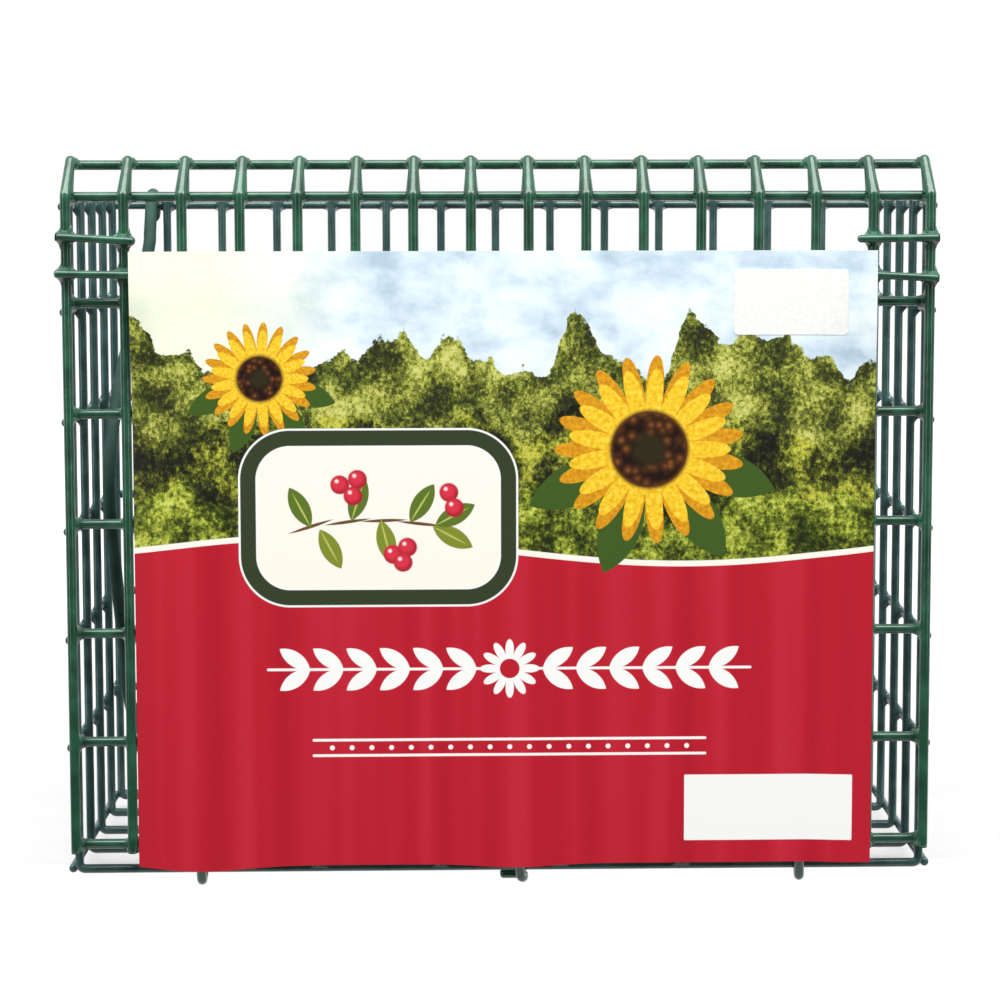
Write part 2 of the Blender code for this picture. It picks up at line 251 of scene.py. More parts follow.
class Print:
    """Ink on a flat sheet, laid shape over shape, measured in millimetres across and up."""

    # Softness of an ink's edge, of a petal's edge and of a leafy line
    EDGE = 0.14
    PETAL_EDGE = 0.3
    LEAFY_EDGE = 0.4
    # Power that makes the petals' tips blunter than a cosine
    PETAL_POWER = 0.75
    # Width of a blot of leaves as a share of their size
    TUFT = 1.8

    def __init__(self, tree: NodeTree, across: NodeSocket, up: NodeSocket, ground: str) -> None:
        """Start with a bare ground.

        Args:
            tree: Node tree that gets the shapes.
            across: Place across the sheet.
            up: Place up the sheet.
            ground: sRGB hex colour of the bare sheet.
        """
        self.tree = tree
        self.across = across
        self.up = up
        self.place = add_node(tree, "CombineXYZ", {0: across, 1: up})
        self.colour = add_node(tree, "RGB").outputs["Color"]
        self.colour.default_value = srgb(ground)

    def lay(self, mask: Source, ink: str | Source) -> None:
        """Lay an ink, given as hex or as a source, where the mask is 1."""
        inputs = {0: mask, 6: self.colour, 7: srgb(ink) if isinstance(ink, str) else ink}
        self.colour = add_node(self.tree, "Mix", inputs, data_type="RGBA").outputs[2]

    def inside(self, distance: Source, rim: float | Source, edge: float = EDGE) -> Node:
        """Return 1 where a distance is below its rim, with a soft edge."""
        room = add_node(self.tree, "Math", {0: rim, 1: distance}, operation="SUBTRACT")
        return add_node(self.tree, "MapRange", {
            "Value": room, "From Min": -edge / 2, "From Max": edge / 2})

    def both(self, first: Source, second: Source) -> Node:
        """Return the part that two masks share."""
        return add_node(self.tree, "Math", {0: first, 1: second}, operation="MULTIPLY")

    def from_point(self, x: float, z: float) -> Node:
        """Return the way from a point on the sheet."""
        return add_node(self.tree, "VectorMath", {0: self.place, 1: (x, z, 0.0)},
                        operation="SUBTRACT")

    def distance(self, x: float, z: float) -> NodeSocket:
        """Return the distance from a point on the sheet."""
        return add_node(self.tree, "VectorMath", {0: self.place, 1: (x, z, 0.0)},
                        operation="DISTANCE").outputs["Value"]

    def disc(self, x: float, z: float, radius: float, edge: float = EDGE) -> Node:
        """Return the mask of a disc."""
        return self.inside(self.distance(x, z), radius, edge)

    def leaf(self, x: float, z: float, length: float, turn: float, girth: float = 0.36) -> Node:
        """Return the mask of a pointed leaf.

        Args:
            x: Place of its foot across.
            z: Place of its foot upwards.
            length: Length from foot to tip.
            turn: Direction of its tip in degrees, counted from +x.
            girth: Width as a share of the length.

        Returns:
            The part that two large discs share.
        """
        along = Vector((math.cos(math.radians(turn)), math.sin(math.radians(turn))))
        aside = Vector((-along.y, along.x))
        half = length / 2
        width = length * girth / 2
        radius = (half ** 2 + width ** 2) / (2 * width)
        middle = Vector((x, z)) + along * half
        discs = [self.disc(*(middle + aside * side * (radius - width)), radius)
                 for side in (-1, 1)]
        return self.both(*discs)

    def panel(self, x: float, z: float, half_width: float, half_height: float,
              corner: float) -> Node:
        """Return the mask of a rectangle with round corners.

        Args:
            x: Place of its middle across.
            z: Place of its middle upwards.
            half_width: Half its width.
            half_height: Half its height.
            corner: Radius of its corners.

        Returns:
            The mask.
        """
        way = add_node(self.tree, "VectorMath", {0: self.from_point(x, z)}, operation="ABSOLUTE")
        core = (half_width - corner, half_height - corner, 0.0)
        out = add_node(self.tree, "VectorMath", {0: way, 1: core}, operation="SUBTRACT")
        out = add_node(self.tree, "VectorMath", {0: out, 1: (0.0, 0.0, 0.0)}, operation="MAXIMUM")
        length = add_node(self.tree, "VectorMath", {0: out}, operation="LENGTH")
        return self.inside(length.outputs["Value"], corner)

    def rays(self, x: float, z: float, count: int, inner: float, outer: float,
             phase: float) -> Node:
        """Return the mask of a ring of petals.

        Args:
            x: Place of the middle across.
            z: Place of the middle upwards.
            count: Number of petals.
            inner: Radius at which neighbouring petals part.
            outer: Radius of the petals' tips.
            phase: Turn of the ring as a share of one petal.

        Returns:
            The mask, which also covers the middle.
        """
        way = add_node(self.tree, "SeparateXYZ", {0: self.from_point(x, z)})
        turn = add_node(self.tree, "Math", {0: way.outputs["Y"], 1: way.outputs["X"]},
                        operation="ARCTAN2")
        share = add_node(self.tree, "Math", {0: turn, 1: count / 2, 2: phase * math.pi},
                         operation="MULTIPLY_ADD")
        wave = add_node(self.tree, "Math", {0: share}, operation="COSINE")
        crest = add_node(self.tree, "Math", {0: wave}, operation="ABSOLUTE")
        blunt = add_node(self.tree, "Math", {0: crest, 1: self.PETAL_POWER}, operation="POWER")
        rim = add_node(self.tree, "Math", {0: blunt, 1: outer - inner, 2: inner},
                       operation="MULTIPLY_ADD")
        return self.inside(self.distance(x, z), rim, self.PETAL_EDGE)

    def grain(self, size: tuple[float, float], detail: float, seed: float,
              roughness: float = 0.5) -> Node:
        """Return noise whose blots measure size across and up."""
        shifted = add_node(self.tree, "VectorMath", {
            0: self.place, 1: (1 / size[0], 1 / size[1], 0.0), 2: (seed, 2 * seed, seed)},
            operation="MULTIPLY_ADD")
        return add_node(self.tree, "TexNoise", {
            "Vector": shifted, "Scale": 1.0, "Detail": detail, "Roughness": roughness})

    def tinted(self, value: Source, stops: Stops) -> Node:
        """Return the colours that a value takes on a ramp."""
        return set_ramp(add_node(self.tree, "ValToRGB", {"Fac": value}), stops)

    def below(self, level: float, swing: float, blot: float, ragged: float, seed: float) -> Node:
        """Return the mask of the part below a hilly, ragged line.

        Args:
            level: Middle height of the line.
            swing: Height between its lowest and its highest parts.
            blot: Width of its hills or crowns.
            ragged: Size of the leaves along it.
            seed: Place in the noise.

        Returns:
            The mask.
        """
        hills = self.grain((blot, 1e4), 1.0, seed)
        hill = add_node(self.tree, "Math", {0: hills, 1: 2 * swing, 2: level - swing},
                        operation="MULTIPLY_ADD")
        tufts = self.grain((self.TUFT * ragged, self.TUFT * ragged), 3.0, seed + 3.0, 0.6)
        leaves = add_node(self.tree, "Math", {0: tufts, 1: 4 * ragged, 2: -2 * ragged},
                          operation="MULTIPLY_ADD")
        line = add_node(self.tree, "Math", {0: hill, 1: leaves}, operation="ADD")
        return self.inside(self.up, line, self.LEAFY_EDGE)


@dataclass(frozen=True)
class Paperboard:
    """Coated paperboard, offset printed and varnished.

    The varnish gives an even satin gloss over flat inks. The crimson's soft upright bands are
    painted shade and painted light of the card pressed on the wires behind it.
    """

    hinge: Vector
    name: str = "offset_printed_paperboard"
    crimson: str = "b91c2d"
    # Darker and lighter crimson: painted shade and painted light of the card pressed on the wires
    # behind it
    crimson_painted_shade: str = "ae1828"
    crimson_painted_light: str = "c22839"
    cream: str = "f3efe4"
    olive: str = "34402a"
    white: str = "f3f3f1"
    fibre_mm: float = 0.7
    fibre_depth_mm: float = 0.02
    smoothest: float = 0.24
    roughest: float = 0.36

    def material(self) -> Material:
        """Make the printed board's material.

        Returns:
            The material.
        """
        material, tree, shader = new_material(self.name)
        local = add_node(tree, "Mapping", {
            "Vector": add_node(tree, "TexCoord").outputs["Object"],
            "Location": -self.hinge / MM, "Scale": (1 / MM, 1 / MM, 1 / MM)})
        parts = add_node(tree, "SeparateXYZ", {0: local})
        art = CardPrint(tree, parts.outputs["X"], parts.outputs["Z"], self)
        art.draw()
        fibre = art.grain((self.fibre_mm, self.fibre_mm), 2.0, 9.0)
        gloss = add_node(tree, "MapRange", {
            "Value": fibre, "To Min": self.smoothest, "To Max": self.roughest})
        tooth = add_node(tree, "Bump", {
            "Height": fibre, "Strength": 0.12, "Distance": self.fibre_depth_mm * MM})
        set_inputs(shader, {"Base Color": art.colour, "Roughness": gloss, "Normal": tooth})
        return material


class CardPrint(Print):
    """The card's generic design, in millimetres from the hinge line."""

    # Height of the crimson field's edge, and its wave
    HORIZON = 73.0
    WAVE_RISE = 3.2
    HALF_WAVE = 82.0
    CREAM_LINE = 1.3
    # Ranks of crowns: level, swing, blot, ragged and seed of their edge, size of their leaves,
    # and inks from shade to light
    RANKS = (
        (117.0, 19.0, 13.0, 1.5, 7.5, (0.8, 1.0),
         ("2b2c1c", "4a5220", "7b8432", "adb14c", "d0cf78")),
        (103.0, 20.0, 17.0, 1.7, 21.5, (1.0, 1.3),
         ("1b1b17", "2f3319", "585f20", "8f952e", "c6c44c")),
        (86.0, 9.0, 11.0, 1.3, 31.0, (1.3, 1.5),
         ("232a14", "465019", "76832a", "a9b43c", "cfd46a")),
    )
    LEAF_TONES = (0.36, 0.46, 0.54, 0.61, 0.7)
    # Rings of a sunflower: petals, inner and outer radius as shares of its size, phase, inks
    PETALS = (
        (19, 0.5, 1.0, 0.5, ((0.3, "b9770f"), (0.55, "d9991a"), (0.75, "e8b52b"))),
        (17, 0.42, 0.86, 0.0, ((0.3, "dda414"), (0.5, "efc428"), (0.72, "f7dc52"))),
    )
    # A sunflower's leaves: their directions, place of their foot, length and girth
    SEPALS = (205.0, 250.0, 305.0, 342.0)
    SEPAL_FOOT = 0.35
    SEPAL_LENGTH = 1.05
    SEPAL_GIRTH = 0.42
    # A sunflower's head: radius and softness of its rim, its seeds and its heart
    HEAD = ((0.42, 0.9), (0.38, 0.6), (0.17, 0.12))
    # The plaque: middle, half width, half height and corner, then its rims' growth
    PLAQUE = (-27.0, 81.0)
    PLAQUE_SIZE = (30.5, 19.5, 11.0)
    PLAQUE_RIMS = (0.45, 0.0, -3.4, -3.8)
    # Places from the plaque's middle: twigs and leaves with their turns, and berries
    TWIGS = ((-20.0, -3.5, 18.0), (-12.0, -1.6, 8.0), (-4.0, -0.8, 2.0), (4.0, -0.8, -6.0))
    LEAVES = ((-15.0, -2.0, 118.0), (-13.0, -2.5, -62.0), (-6.0, -0.6, 72.0),
              (0.5, -0.5, -76.0), (7.0, -1.0, 58.0), (12.0, -2.0, -28.0), (12.5, -1.8, 28.0))
    BERRIES = ((-8.5, 7.4), (-4.6, 8.6), (-5.6, 4.9), (3.2, -8.2), (6.4, -6.6), (5.4, -10.0),
               (15.6, 5.6), (16.8, 2.2))
    # The garland: middle, half length of its stem, step, length, lean and girth of its leaves
    GARLAND = (2.0, 47.0)
    STEM = 54.0
    LEAF_STEP = 7.4
    LEAF_LENGTH = 8.2
    LEAF_LEAN = 35.0
    LEAF_GIRTH = 0.4
    # Heights and half length of the two rules, and height, step and radius of their dots
    RULES = (31.0, 27.5)
    RULE = 44.0
    DOTS = (29.25, 4.4, 0.55)
    # Half the thickness of the stem and of the rules
    HALF_LINE = 0.3
    # Middle, half width, half height and corner of the white panel near the lower right
    WHITE_PANEL = (59.9, 15.1, 18.8, 7.5, 0.25)

    def __init__(self, tree: NodeTree, across: NodeSocket, up: NodeSocket,
                 board: Paperboard) -> None:
        """Start with the board's cream ground and keep its inks."""
        super().__init__(tree, across, up, board.cream)
        self.board = board

    def draw(self) -> None:
        """Print the design from the back to the front."""
        self._sky()
        self._woods()
        self._lower_field()
        self._sunflower(33.0, 96.0, 21.0)
        self._sunflower(-53.0, 112.0, 12.5)
        self._plaque()
        self._garland()
        self.lay(self.panel(*self.WHITE_PANEL), self.board.white)

    def _sky(self) -> None:
        """Print a pale mottled sky, warmer to the left."""
        self.colour = self.tinted(
            self.grain((15.0, 11.0), 4.0, 1.0, 0.6),
            ((0.32, "b0c6d6"), (0.43, "cadce8"), (0.54, "e0edf2"), (0.66, "eff8f8")))
        warm = add_node(self.tree, "MapRange", {
            "Value": self.across, "From Min": -30.0, "From Max": -62.0, "To Max": 0.75})
        self.lay(warm, "f6f7d6")

    def _woods(self) -> None:
        """Print far hills and three ranks of leafy crowns, each with lit and shaded leaves."""
        self.lay(self.below(104.0, 6.0, 38.0, 0.6, 4.0), self.tinted(
            self.grain((3.0, 2.2), 3.0, 8.0, 0.6), ((0.35, "71877c"), (0.65, "a3b3a3"))))
        crowns = self.grain((8.0, 10.0), 1.5, 17.0)
        shade = add_node(self.tree, "Math", {0: crowns, 1: 0.7, 2: -0.35},
                         operation="MULTIPLY_ADD")
        for level, swing, blot, ragged, seed, size, inks in self.RANKS:
            leaves = add_node(self.tree, "Math", {
                0: self.grain(size, 6.0, seed + 4.0, 0.74), 1: shade}, operation="ADD")
            lit = self.tinted(leaves, tuple(zip(self.LEAF_TONES, inks)))
            self.lay(self.below(level, swing, blot, ragged, seed), lit)

    def _lower_field(self) -> None:
        """Print the crimson field under a shallow wave, with faint upright bands of painted shade
        and painted light.
        """
        board = self.board
        # Upright streaks of the three crimsons: painted shade and painted light
        crimson = self.tinted(
            self.grain((7.5, 400.0), 1.5, 41.0),
            ((0.3, board.crimson_painted_shade), (0.5, board.crimson), (0.7, board.crimson_painted_light)))
        bend = add_node(self.tree, "Math", {0: self.across, 1: math.pi / self.HALF_WAVE},
                        operation="MULTIPLY")
        wave = add_node(self.tree, "Math", {0: bend}, operation="SINE")
        for lift, ink in ((self.CREAM_LINE, board.cream), (0.0, crimson)):
            line = add_node(self.tree, "Math", {
                0: wave, 1: -self.WAVE_RISE, 2: self.HORIZON + lift}, operation="MULTIPLY_ADD")
            self.lay(self.inside(self.up, line), ink)

    def _sunflower(self, x: float, z: float, size: float) -> None:
        """Print a sunflower with leaves, two rings of petals and a seed head.

        Args:
            x: Place of its middle across.
            z: Place of its middle upwards.
            size: Radius of its petals' tips.
        """
        foot = self.SEPAL_FOOT * size
        for turn in self.SEPALS:
            angle = math.radians(turn)
            self.lay(self.leaf(x + foot * math.cos(angle), z + foot * math.sin(angle),
                               self.SEPAL_LENGTH * size, turn, self.SEPAL_GIRTH), "3f5a22")
        streaks = self.grain((size / 20, size / 20), 3.0, x, 0.6)
        for count, inner, outer, phase, inks in self.PETALS:
            ring = self.rays(x, z, count, inner * size, outer * size, phase)
            self.lay(ring, self.tinted(streaks, inks))
        (rim, rim_edge), (seed_rim, seed_edge), (heart, heart_edge) = self.HEAD
        self.lay(self.disc(x, z, rim * size, rim_edge), "5a3418")
        seeds = add_node(self.tree, "TexVoronoi", {"Vector": self.place, "Scale": 9.0 / size})
        self.lay(self.disc(x, z, seed_rim * size, seed_edge), self.tinted(
            seeds, ((0.1, "7a4a22"), (0.35, "4a2a17"), (0.7, "231511"))))
        self.lay(self.disc(x, z, heart * size, heart_edge * size), "2f2a17")

    def _plaque(self) -> None:
        """Print a cream plaque in an olive frame, with berries on a leafy twig."""
        x, z = self.PLAQUE
        board = self.board
        inks = (board.white, board.olive, board.white, board.cream)
        for grow, ink in zip(self.PLAQUE_RIMS, inks):
            self.lay(self.panel(x, z, *(size + grow for size in self.PLAQUE_SIZE)), ink)
        for left, rise, turn in self.TWIGS:
            self.lay(self.leaf(x + left, z + rise, 10.5, turn, 0.07), "6b4a2c")
        for index, (left, rise, turn) in enumerate(self.LEAVES):
            self.lay(self.leaf(x + left, z + rise, 10.0, turn, 0.42),
                     "7d8a2e" if index % 2 else "5c7328")
            self.lay(self.leaf(x + left, z + rise, 8.5, turn, 0.05), "b5bd62")
        for left, rise in self.BERRIES:
            self.lay(self.disc(x + left, z + rise, 2.1, 0.3), "a81f2f")
            self.lay(self.disc(x + left - 0.25, z + rise + 0.3, 1.6, 1.0), "d53346")
            self.lay(self.disc(x + left - 0.7, z + rise + 0.8, 0.4, 0.4), "fbe3e3")

    def _garland(self) -> None:
        """Print a white garland of leaf pairs round a flower, and two rules with dots."""
        middle, height = self.GARLAND
        white = self.board.white
        line = self.HALF_LINE
        self.lay(self.panel(middle, height, self.STEM, line, line), white)
        for z in self.RULES:
            self.lay(self.panel(middle, z, self.RULE, line, line), white)
        for index in range(-6, 7):
            lean = self.LEAF_LEAN if index > 0 else 180.0 - self.LEAF_LEAN
            for turn in (lean, -lean) if index else ():
                self.lay(self.leaf(middle + self.LEAF_STEP * index, height,
                                   self.LEAF_LENGTH, turn, self.LEAF_GIRTH), white)
        self.lay(self.rays(middle, height, 12, 3.0, 6.6, 0.0), white)
        self.lay(self.disc(middle, height, 2.2), self.board.crimson)
        dots_height, dot_step, dot = self.DOTS
        for index in range(-9, 10):
            self.lay(self.disc(middle + dot_step * index, dots_height, dot), white)


@dataclass(frozen=True)
class PlainPaper:
    """Uncoated paper or board from the mill: matt, with a faint fibre mottle."""

    name: str
    bright: str
    dull: str
    fibre_mm: float = 0.8
    fibre_depth_mm: float = 0.02
    roughness: float = 0.6

    def material(self) -> Material:
        """Make the paper's material.

        Returns:
            The material.
        """
        material, tree, shader = new_material(self.name)
        fibre = add_node(tree, "TexNoise", {
            "Vector": add_node(tree, "TexCoord").outputs["Object"],
            "Scale": 1 / (self.fibre_mm * MM), "Detail": 3.0})
        tone = set_ramp(add_node(tree, "ValToRGB", {"Fac": fibre}),
                        ((0.35, self.dull), (0.65, self.bright)))
        tooth = add_node(tree, "Bump", {
            "Height": fibre, "Strength": 0.2, "Distance": self.fibre_depth_mm * MM})
        set_inputs(shader, {"Base Color": tone, "Normal": tooth, "Roughness": self.roughness})
        return material


@dataclass(frozen=True)
class StudioPaper:
    """Matt seamless paper, grey enough to show a soft shadow.

    A glow for the camera, for reflections and through clear things lifts it towards white, in
    part near the object and fully from the far distance on.
    """

    name: str = "matt_seamless_paper"
    colour: str = "868685"
    near_glow: float = 0.61
    far_glow: float = 1.0
    near: float = 0.18
    far: float = 0.5

    def material(self) -> Material:
        """Make the paper's material.

        Returns:
            The material.
        """
        material, tree, shader = new_material(self.name)
        set_inputs(shader, {
            "Base Color": srgb(self.colour), "Roughness": 0.9, "Specular IOR Level": 0.0})
        place = add_node(tree, "TexCoord").outputs["Object"]
        distance = add_node(tree, "VectorMath", {0: place}, operation="LENGTH")
        level = add_node(tree, "MapRange", {
            "Value": distance.outputs["Value"], "From Min": self.near, "From Max": self.far,
            "To Min": self.near_glow, "To Max": self.far_glow})
        strength = add_node(tree, "Math", {0: pale_rays(tree), 1: level}, operation="MULTIPLY")
        glow = add_node(tree, "Emission", {"Color": (1.0, 1.0, 1.0, 1.0), "Strength": strength})
        both = add_node(tree, "AddShader", {0: shader, 1: glow})
        set_inputs(tree.nodes["Material Output"], {"Surface": both})
        return material


@dataclass(frozen=True)
class Weld:
    """Place where the coat fills the corners between a wire and one that crosses it.

    Attributes:
        place: Crossing point on this wire's centre line.
        toward: Unit vector to the crossing wire's centre line.
        along: Unit vector along the crossing wire.
        reach: Distance between the two centre lines.
        other_radius: Radius of the crossing wire.
        fillet: Radius of the coat's fillet.
        sides: Sides of this wire, counted along the crossing wire, that have a fillet.
    """

    place: Vector
    toward: Vector
    along: Vector
    reach: float
    other_radius: float
    fillet: float
    sides: tuple[int, ...] = (-1, 1)


def arc_corners(middle: tuple[float, float], radius: float, start: float, sweep: float,
                parts: int) -> list[tuple[float, float]]:
    """Return the corners that bends of equal turn round into one arc.

    Args:
        middle: Middle of the arc in its plane.
        radius: Radius of the arc.
        start: Angle of its start in degrees.
        sweep: Turn from its start to its end in degrees, below zero for clockwise.
        parts: Number of bends.

    Returns:
        Corners in the arc's plane.
    """
    turn = math.radians(sweep) / parts
    reach = radius / math.cos(turn / 2)
    angles = [math.radians(start) + turn * (index + 0.5) for index in range(parts)]
    return [(middle[0] + reach * math.cos(angle), middle[1] + reach * math.sin(angle))
            for angle in angles]


def close_up(smoothing: float) -> None:
    """Turn the edited mesh's faces outwards, leave edit mode and smooth the shading.

    Args:
        smoothing: Sharpest turn between faces that shades smooth.
    """
    bpy.ops.mesh.select_all(action='SELECT')
    bpy.ops.mesh.normals_make_consistent(inside=False)
    bpy.ops.object.mode_set(mode='OBJECT')
    bpy.ops.object.shade_smooth_by_angle(angle=smoothing)


def name_active(name: str) -> Object:
    """Name the active object and its mesh.

    Args:
        name: Name for both.

    Returns:
        The object.
    """
    piece = bpy.context.object
    piece.name = name
    piece.data.name = name
    return piece


def add_object(name: str, data: bpy.types.ID) -> Object:
    """Add an object for a camera, a lamp or a curve.

    Args:
        name: Name of the object.
        data: What it shows.

    Returns:
        The object.
    """
    item = bpy.data.objects.new(name, data)
    bpy.context.collection.objects.link(item)
    return item


@dataclass
class CoatedWire:
    """One wire, made by extruding and spinning a ring, as a wire is drawn and bent.

    Attributes:
        name: Name of the piece.
        radius: Radius over the coat.
        route: Corners of the centre line, ends included.
        bend_radius: Radius of the bends on the centre line, one for all or one each.
        welds: Crossings that get a fillet.
        tips: Whether the coat rounds the first and the last end.
        tip_share: Length of a rounded tip as a share of the radius.
    """

    SIDES = 16
    BEND_STEPS = 6
    # Dome of a tip: distance from the end as a share of its length, and share of the radius
    TIP = ((0.0, 0.34), (0.14, 0.72), (0.36, 0.93), (0.7, 1.0))
    WELD_STATIONS = (1.0, 0.66, 0.38, 0.16, 0.0)
    # Shortest step between two rings
    FINEST = 0.02 * MM
    # Farthest that a weld may lie from the line of the run that carries it
    OFF_LINE = 0.1 * MM
    # Reach of a tip's rings and of a weld's rings as shares of the radius, with room to spare
    TIP_REACH = 1.5
    RING_REACH = 1.05
    # Section of a fillet by the angle round the wire: share of the wire's radius, share of the
    # fillet's width, and share of the way to the crossing wire
    SECTION = (
        (0.0, 1.0, 0.10, 0.06),
        (22.5, 1.0, 0.36, 0.52),
        (45.0, 1.0, 1.0, 1.0),
        (67.5, 0.6, 0.5, 1.0),
        (90.0, 0.0, 0.0, 1.0),
    )
    # Widest turn between a corner of a ring and its row of the section
    SECTION_TURN = 5.0

    name: str
    radius: float
    route: list[Vector]
    bend_radius: float | list[float] = 0.0
    welds: list[Weld] = field(default_factory=list)
    tips: tuple[bool, bool] = (True, True)
    tip_share: float = 1.0

    @property
    def tip_length(self) -> float:
        """Length of a rounded tip."""
        return self.tip_share * self.radius

    def _stations(self, start: Vector, end: Vector, first: bool, last: bool) -> list[float]:
        """Place the rings along one straight run.

        Args:
            start: Start of the run.
            end: End of the run.
            first: Whether the wire starts here.
            last: Whether the wire ends here.

        Returns:
            Distances of the rings from the start, without the start.
        """
        run = (end - start).length
        heading = (end - start).normalized()
        places = {run}
        for weld in self.welds:
            centre = (weld.place - start).dot(heading)
            if (weld.place - start - heading * centre).length > self.OFF_LINE:
                continue
            for share in self.WELD_STATIONS:
                offset = weld.other_radius + weld.fillet * share
                places.update((centre - offset, centre + offset))
        if first and self.tips[0]:
            places.update(share * self.tip_length for share, _ in self.TIP)
        if last and self.tips[1]:
            places.update(run - share * self.tip_length for share, _ in self.TIP)
        kept: list[float] = []
        for place in sorted(places):
            if self.FINEST < place <= run and (not kept or place - kept[-1] > self.FINEST):
                kept.append(place)
        return kept

    def _first_ring(self) -> Object:
        """Add the first ring as a filled circle across the wire's start, and select it.

        Returns:
            The new piece, in edit mode.
        """
        heading = (self.route[1] - self.route[0]).normalized()
        bpy.ops.object.select_all(action='DESELECT')
        bpy.ops.mesh.primitive_circle_add(
            vertices=self.SIDES, radius=self.radius, fill_type='NGON',
            location=self.route[0], rotation=heading.to_track_quat('Z', 'Y').to_euler())
        piece = name_active(self.name)
        bpy.ops.object.transform_apply(location=True, rotation=True, scale=True)
        bpy.ops.object.mode_set(mode='EDIT')
        bpy.ops.mesh.select_mode(type='FACE')
        bpy.ops.mesh.select_all(action='SELECT')
        return piece

    def build(self) -> Object:
        """Draw the wire, round its tips and fill its welds.

        Returns:
            The finished piece, at the origin with its place in its mesh.
        """
        piece = self._first_ring()
        corners = self.route
        bends = self.bend_radius
        if not isinstance(bends, list):
            bends = [bends] * len(corners)
        here = corners[0]
        last_span = len(corners) - 2
        for span in range(len(corners) - 1):
            into = (corners[span + 1] - corners[span]).normalized()
            end = corners[span + 1]
            if span < last_span:
                out = (corners[span + 2] - corners[span + 1]).normalized()
                turn = into.angle(out)
                bend = bends[span]
                end = end - into * bend * math.tan(turn / 2)
            done = 0.0
            for place in self._stations(here, end, span == 0, span == last_span):
                bpy.ops.mesh.extrude_region_move(
                    TRANSFORM_OT_translate={"value": into * (place - done)})
                done = place
            here = end
            if span < last_span:
                axis = into.cross(out).normalized()
                centre = here + axis.cross(into) * bend
                bpy.ops.mesh.spin(steps=self.BEND_STEPS, angle=-turn, center=centre, axis=axis)
                here = centre + Matrix.Rotation(turn, 3, axis) @ (here - centre)
        mesh = bmesh.from_edit_mesh(piece.data)
        self._round_tips(mesh)
        for weld in self.welds:
            self._fill(mesh, weld)
        bmesh.update_edit_mesh(piece.data)
        close_up(WIRE_SMOOTHING)
        return piece

    def _round_tips(self, mesh: bmesh.types.BMesh) -> None:
        """Draw the rings near each end in to a dome.

        Args:
            mesh: Mesh of the wire.
        """
        ends = (
            (self.route[0], self.route[1] - self.route[0], self.tips[0]),
            (self.route[-1], self.route[-2] - self.route[-1], self.tips[1]),
        )
        for end, inward, rounded in ends:
            if not rounded:
                continue
            heading = inward.normalized()
            for vertex in mesh.verts:
                depth = (vertex.co - end).dot(heading)
                axis_point = end + heading * depth
                arm = vertex.co - axis_point
                if arm.length > self.TIP_REACH * self.radius:
                    continue
                for share, width in self.TIP:
                    if abs(depth - share * self.tip_length) < self.FINEST / 2:
                        vertex.co = axis_point + arm.normalized() * self.radius * width

    def _fill(self, mesh: bmesh.types.BMesh, weld: Weld) -> None:
        """Spread the rings beside one crossing into the coat's concave fillet.

        Args:
            mesh: Mesh of the wire.
            weld: The crossing.
        """
        heading = weld.toward.cross(weld.along)
        limit = weld.other_radius + weld.fillet
        moves = []
        for vertex in mesh.verts:
            arm = vertex.co - weld.place
            along = arm.dot(weld.along)
            depth = arm.dot(weld.toward)
            distance = abs(arm.dot(heading))
            side = 0 if abs(along) < self.FINEST else int(math.copysign(1, along))
            if distance > limit or math.hypot(along, depth) > self.RING_REACH * self.radius:
                continue
            if side and side not in weld.sides:
                continue
            angle = math.degrees(math.atan2(depth, abs(along)))
            near = min(self.SECTION, key=lambda row: abs(row[0] - angle))
            if abs(near[0] - angle) > self.SECTION_TURN:
                continue
            beyond = max(0.0, distance - weld.other_radius)
            share = 1 - beyond / weld.fillet
            flare = weld.fillet - math.sqrt(max(0.0, weld.fillet ** 2 - (weld.fillet - beyond) ** 2))
            _, radius_share, flare_share, reach_share = near
            width = abs(along) + (radius_share * self.radius - abs(along)) * share
            width += flare * flare_share
            sunk = depth + (weld.reach * reach_share - depth) * share
            moves.append((vertex, weld.along * (side * width - along)
                          + weld.toward * (sunk - depth)))
        for vertex, move in moves:
            vertex.co += move


def copy_piece(piece: Object, name: str, move: Vector) -> Object:
    """Copy a piece with its own mesh, moved in its mesh.

    Args:
        piece: Piece to copy.
        name: Name of the copy.
        move: Way from the piece to its copy.

    Returns:
        The copy.
    """
    twin = piece.copy()
    twin.data = piece.data.copy()
    twin.name = name
    twin.data.name = name
    twin.data.transform(Matrix.Translation(move))
    bpy.context.collection.objects.link(twin)
    return twin


@dataclass
class Placed:
    """Something whose places are measured from the hinge line, as in the part's source."""

    hinge: Vector

    def at(self, x: float, y: float, z: float) -> Vector:
        """Return a point given from the hinge line in the frame."""
        return self.hinge + Vector((x, y, z))


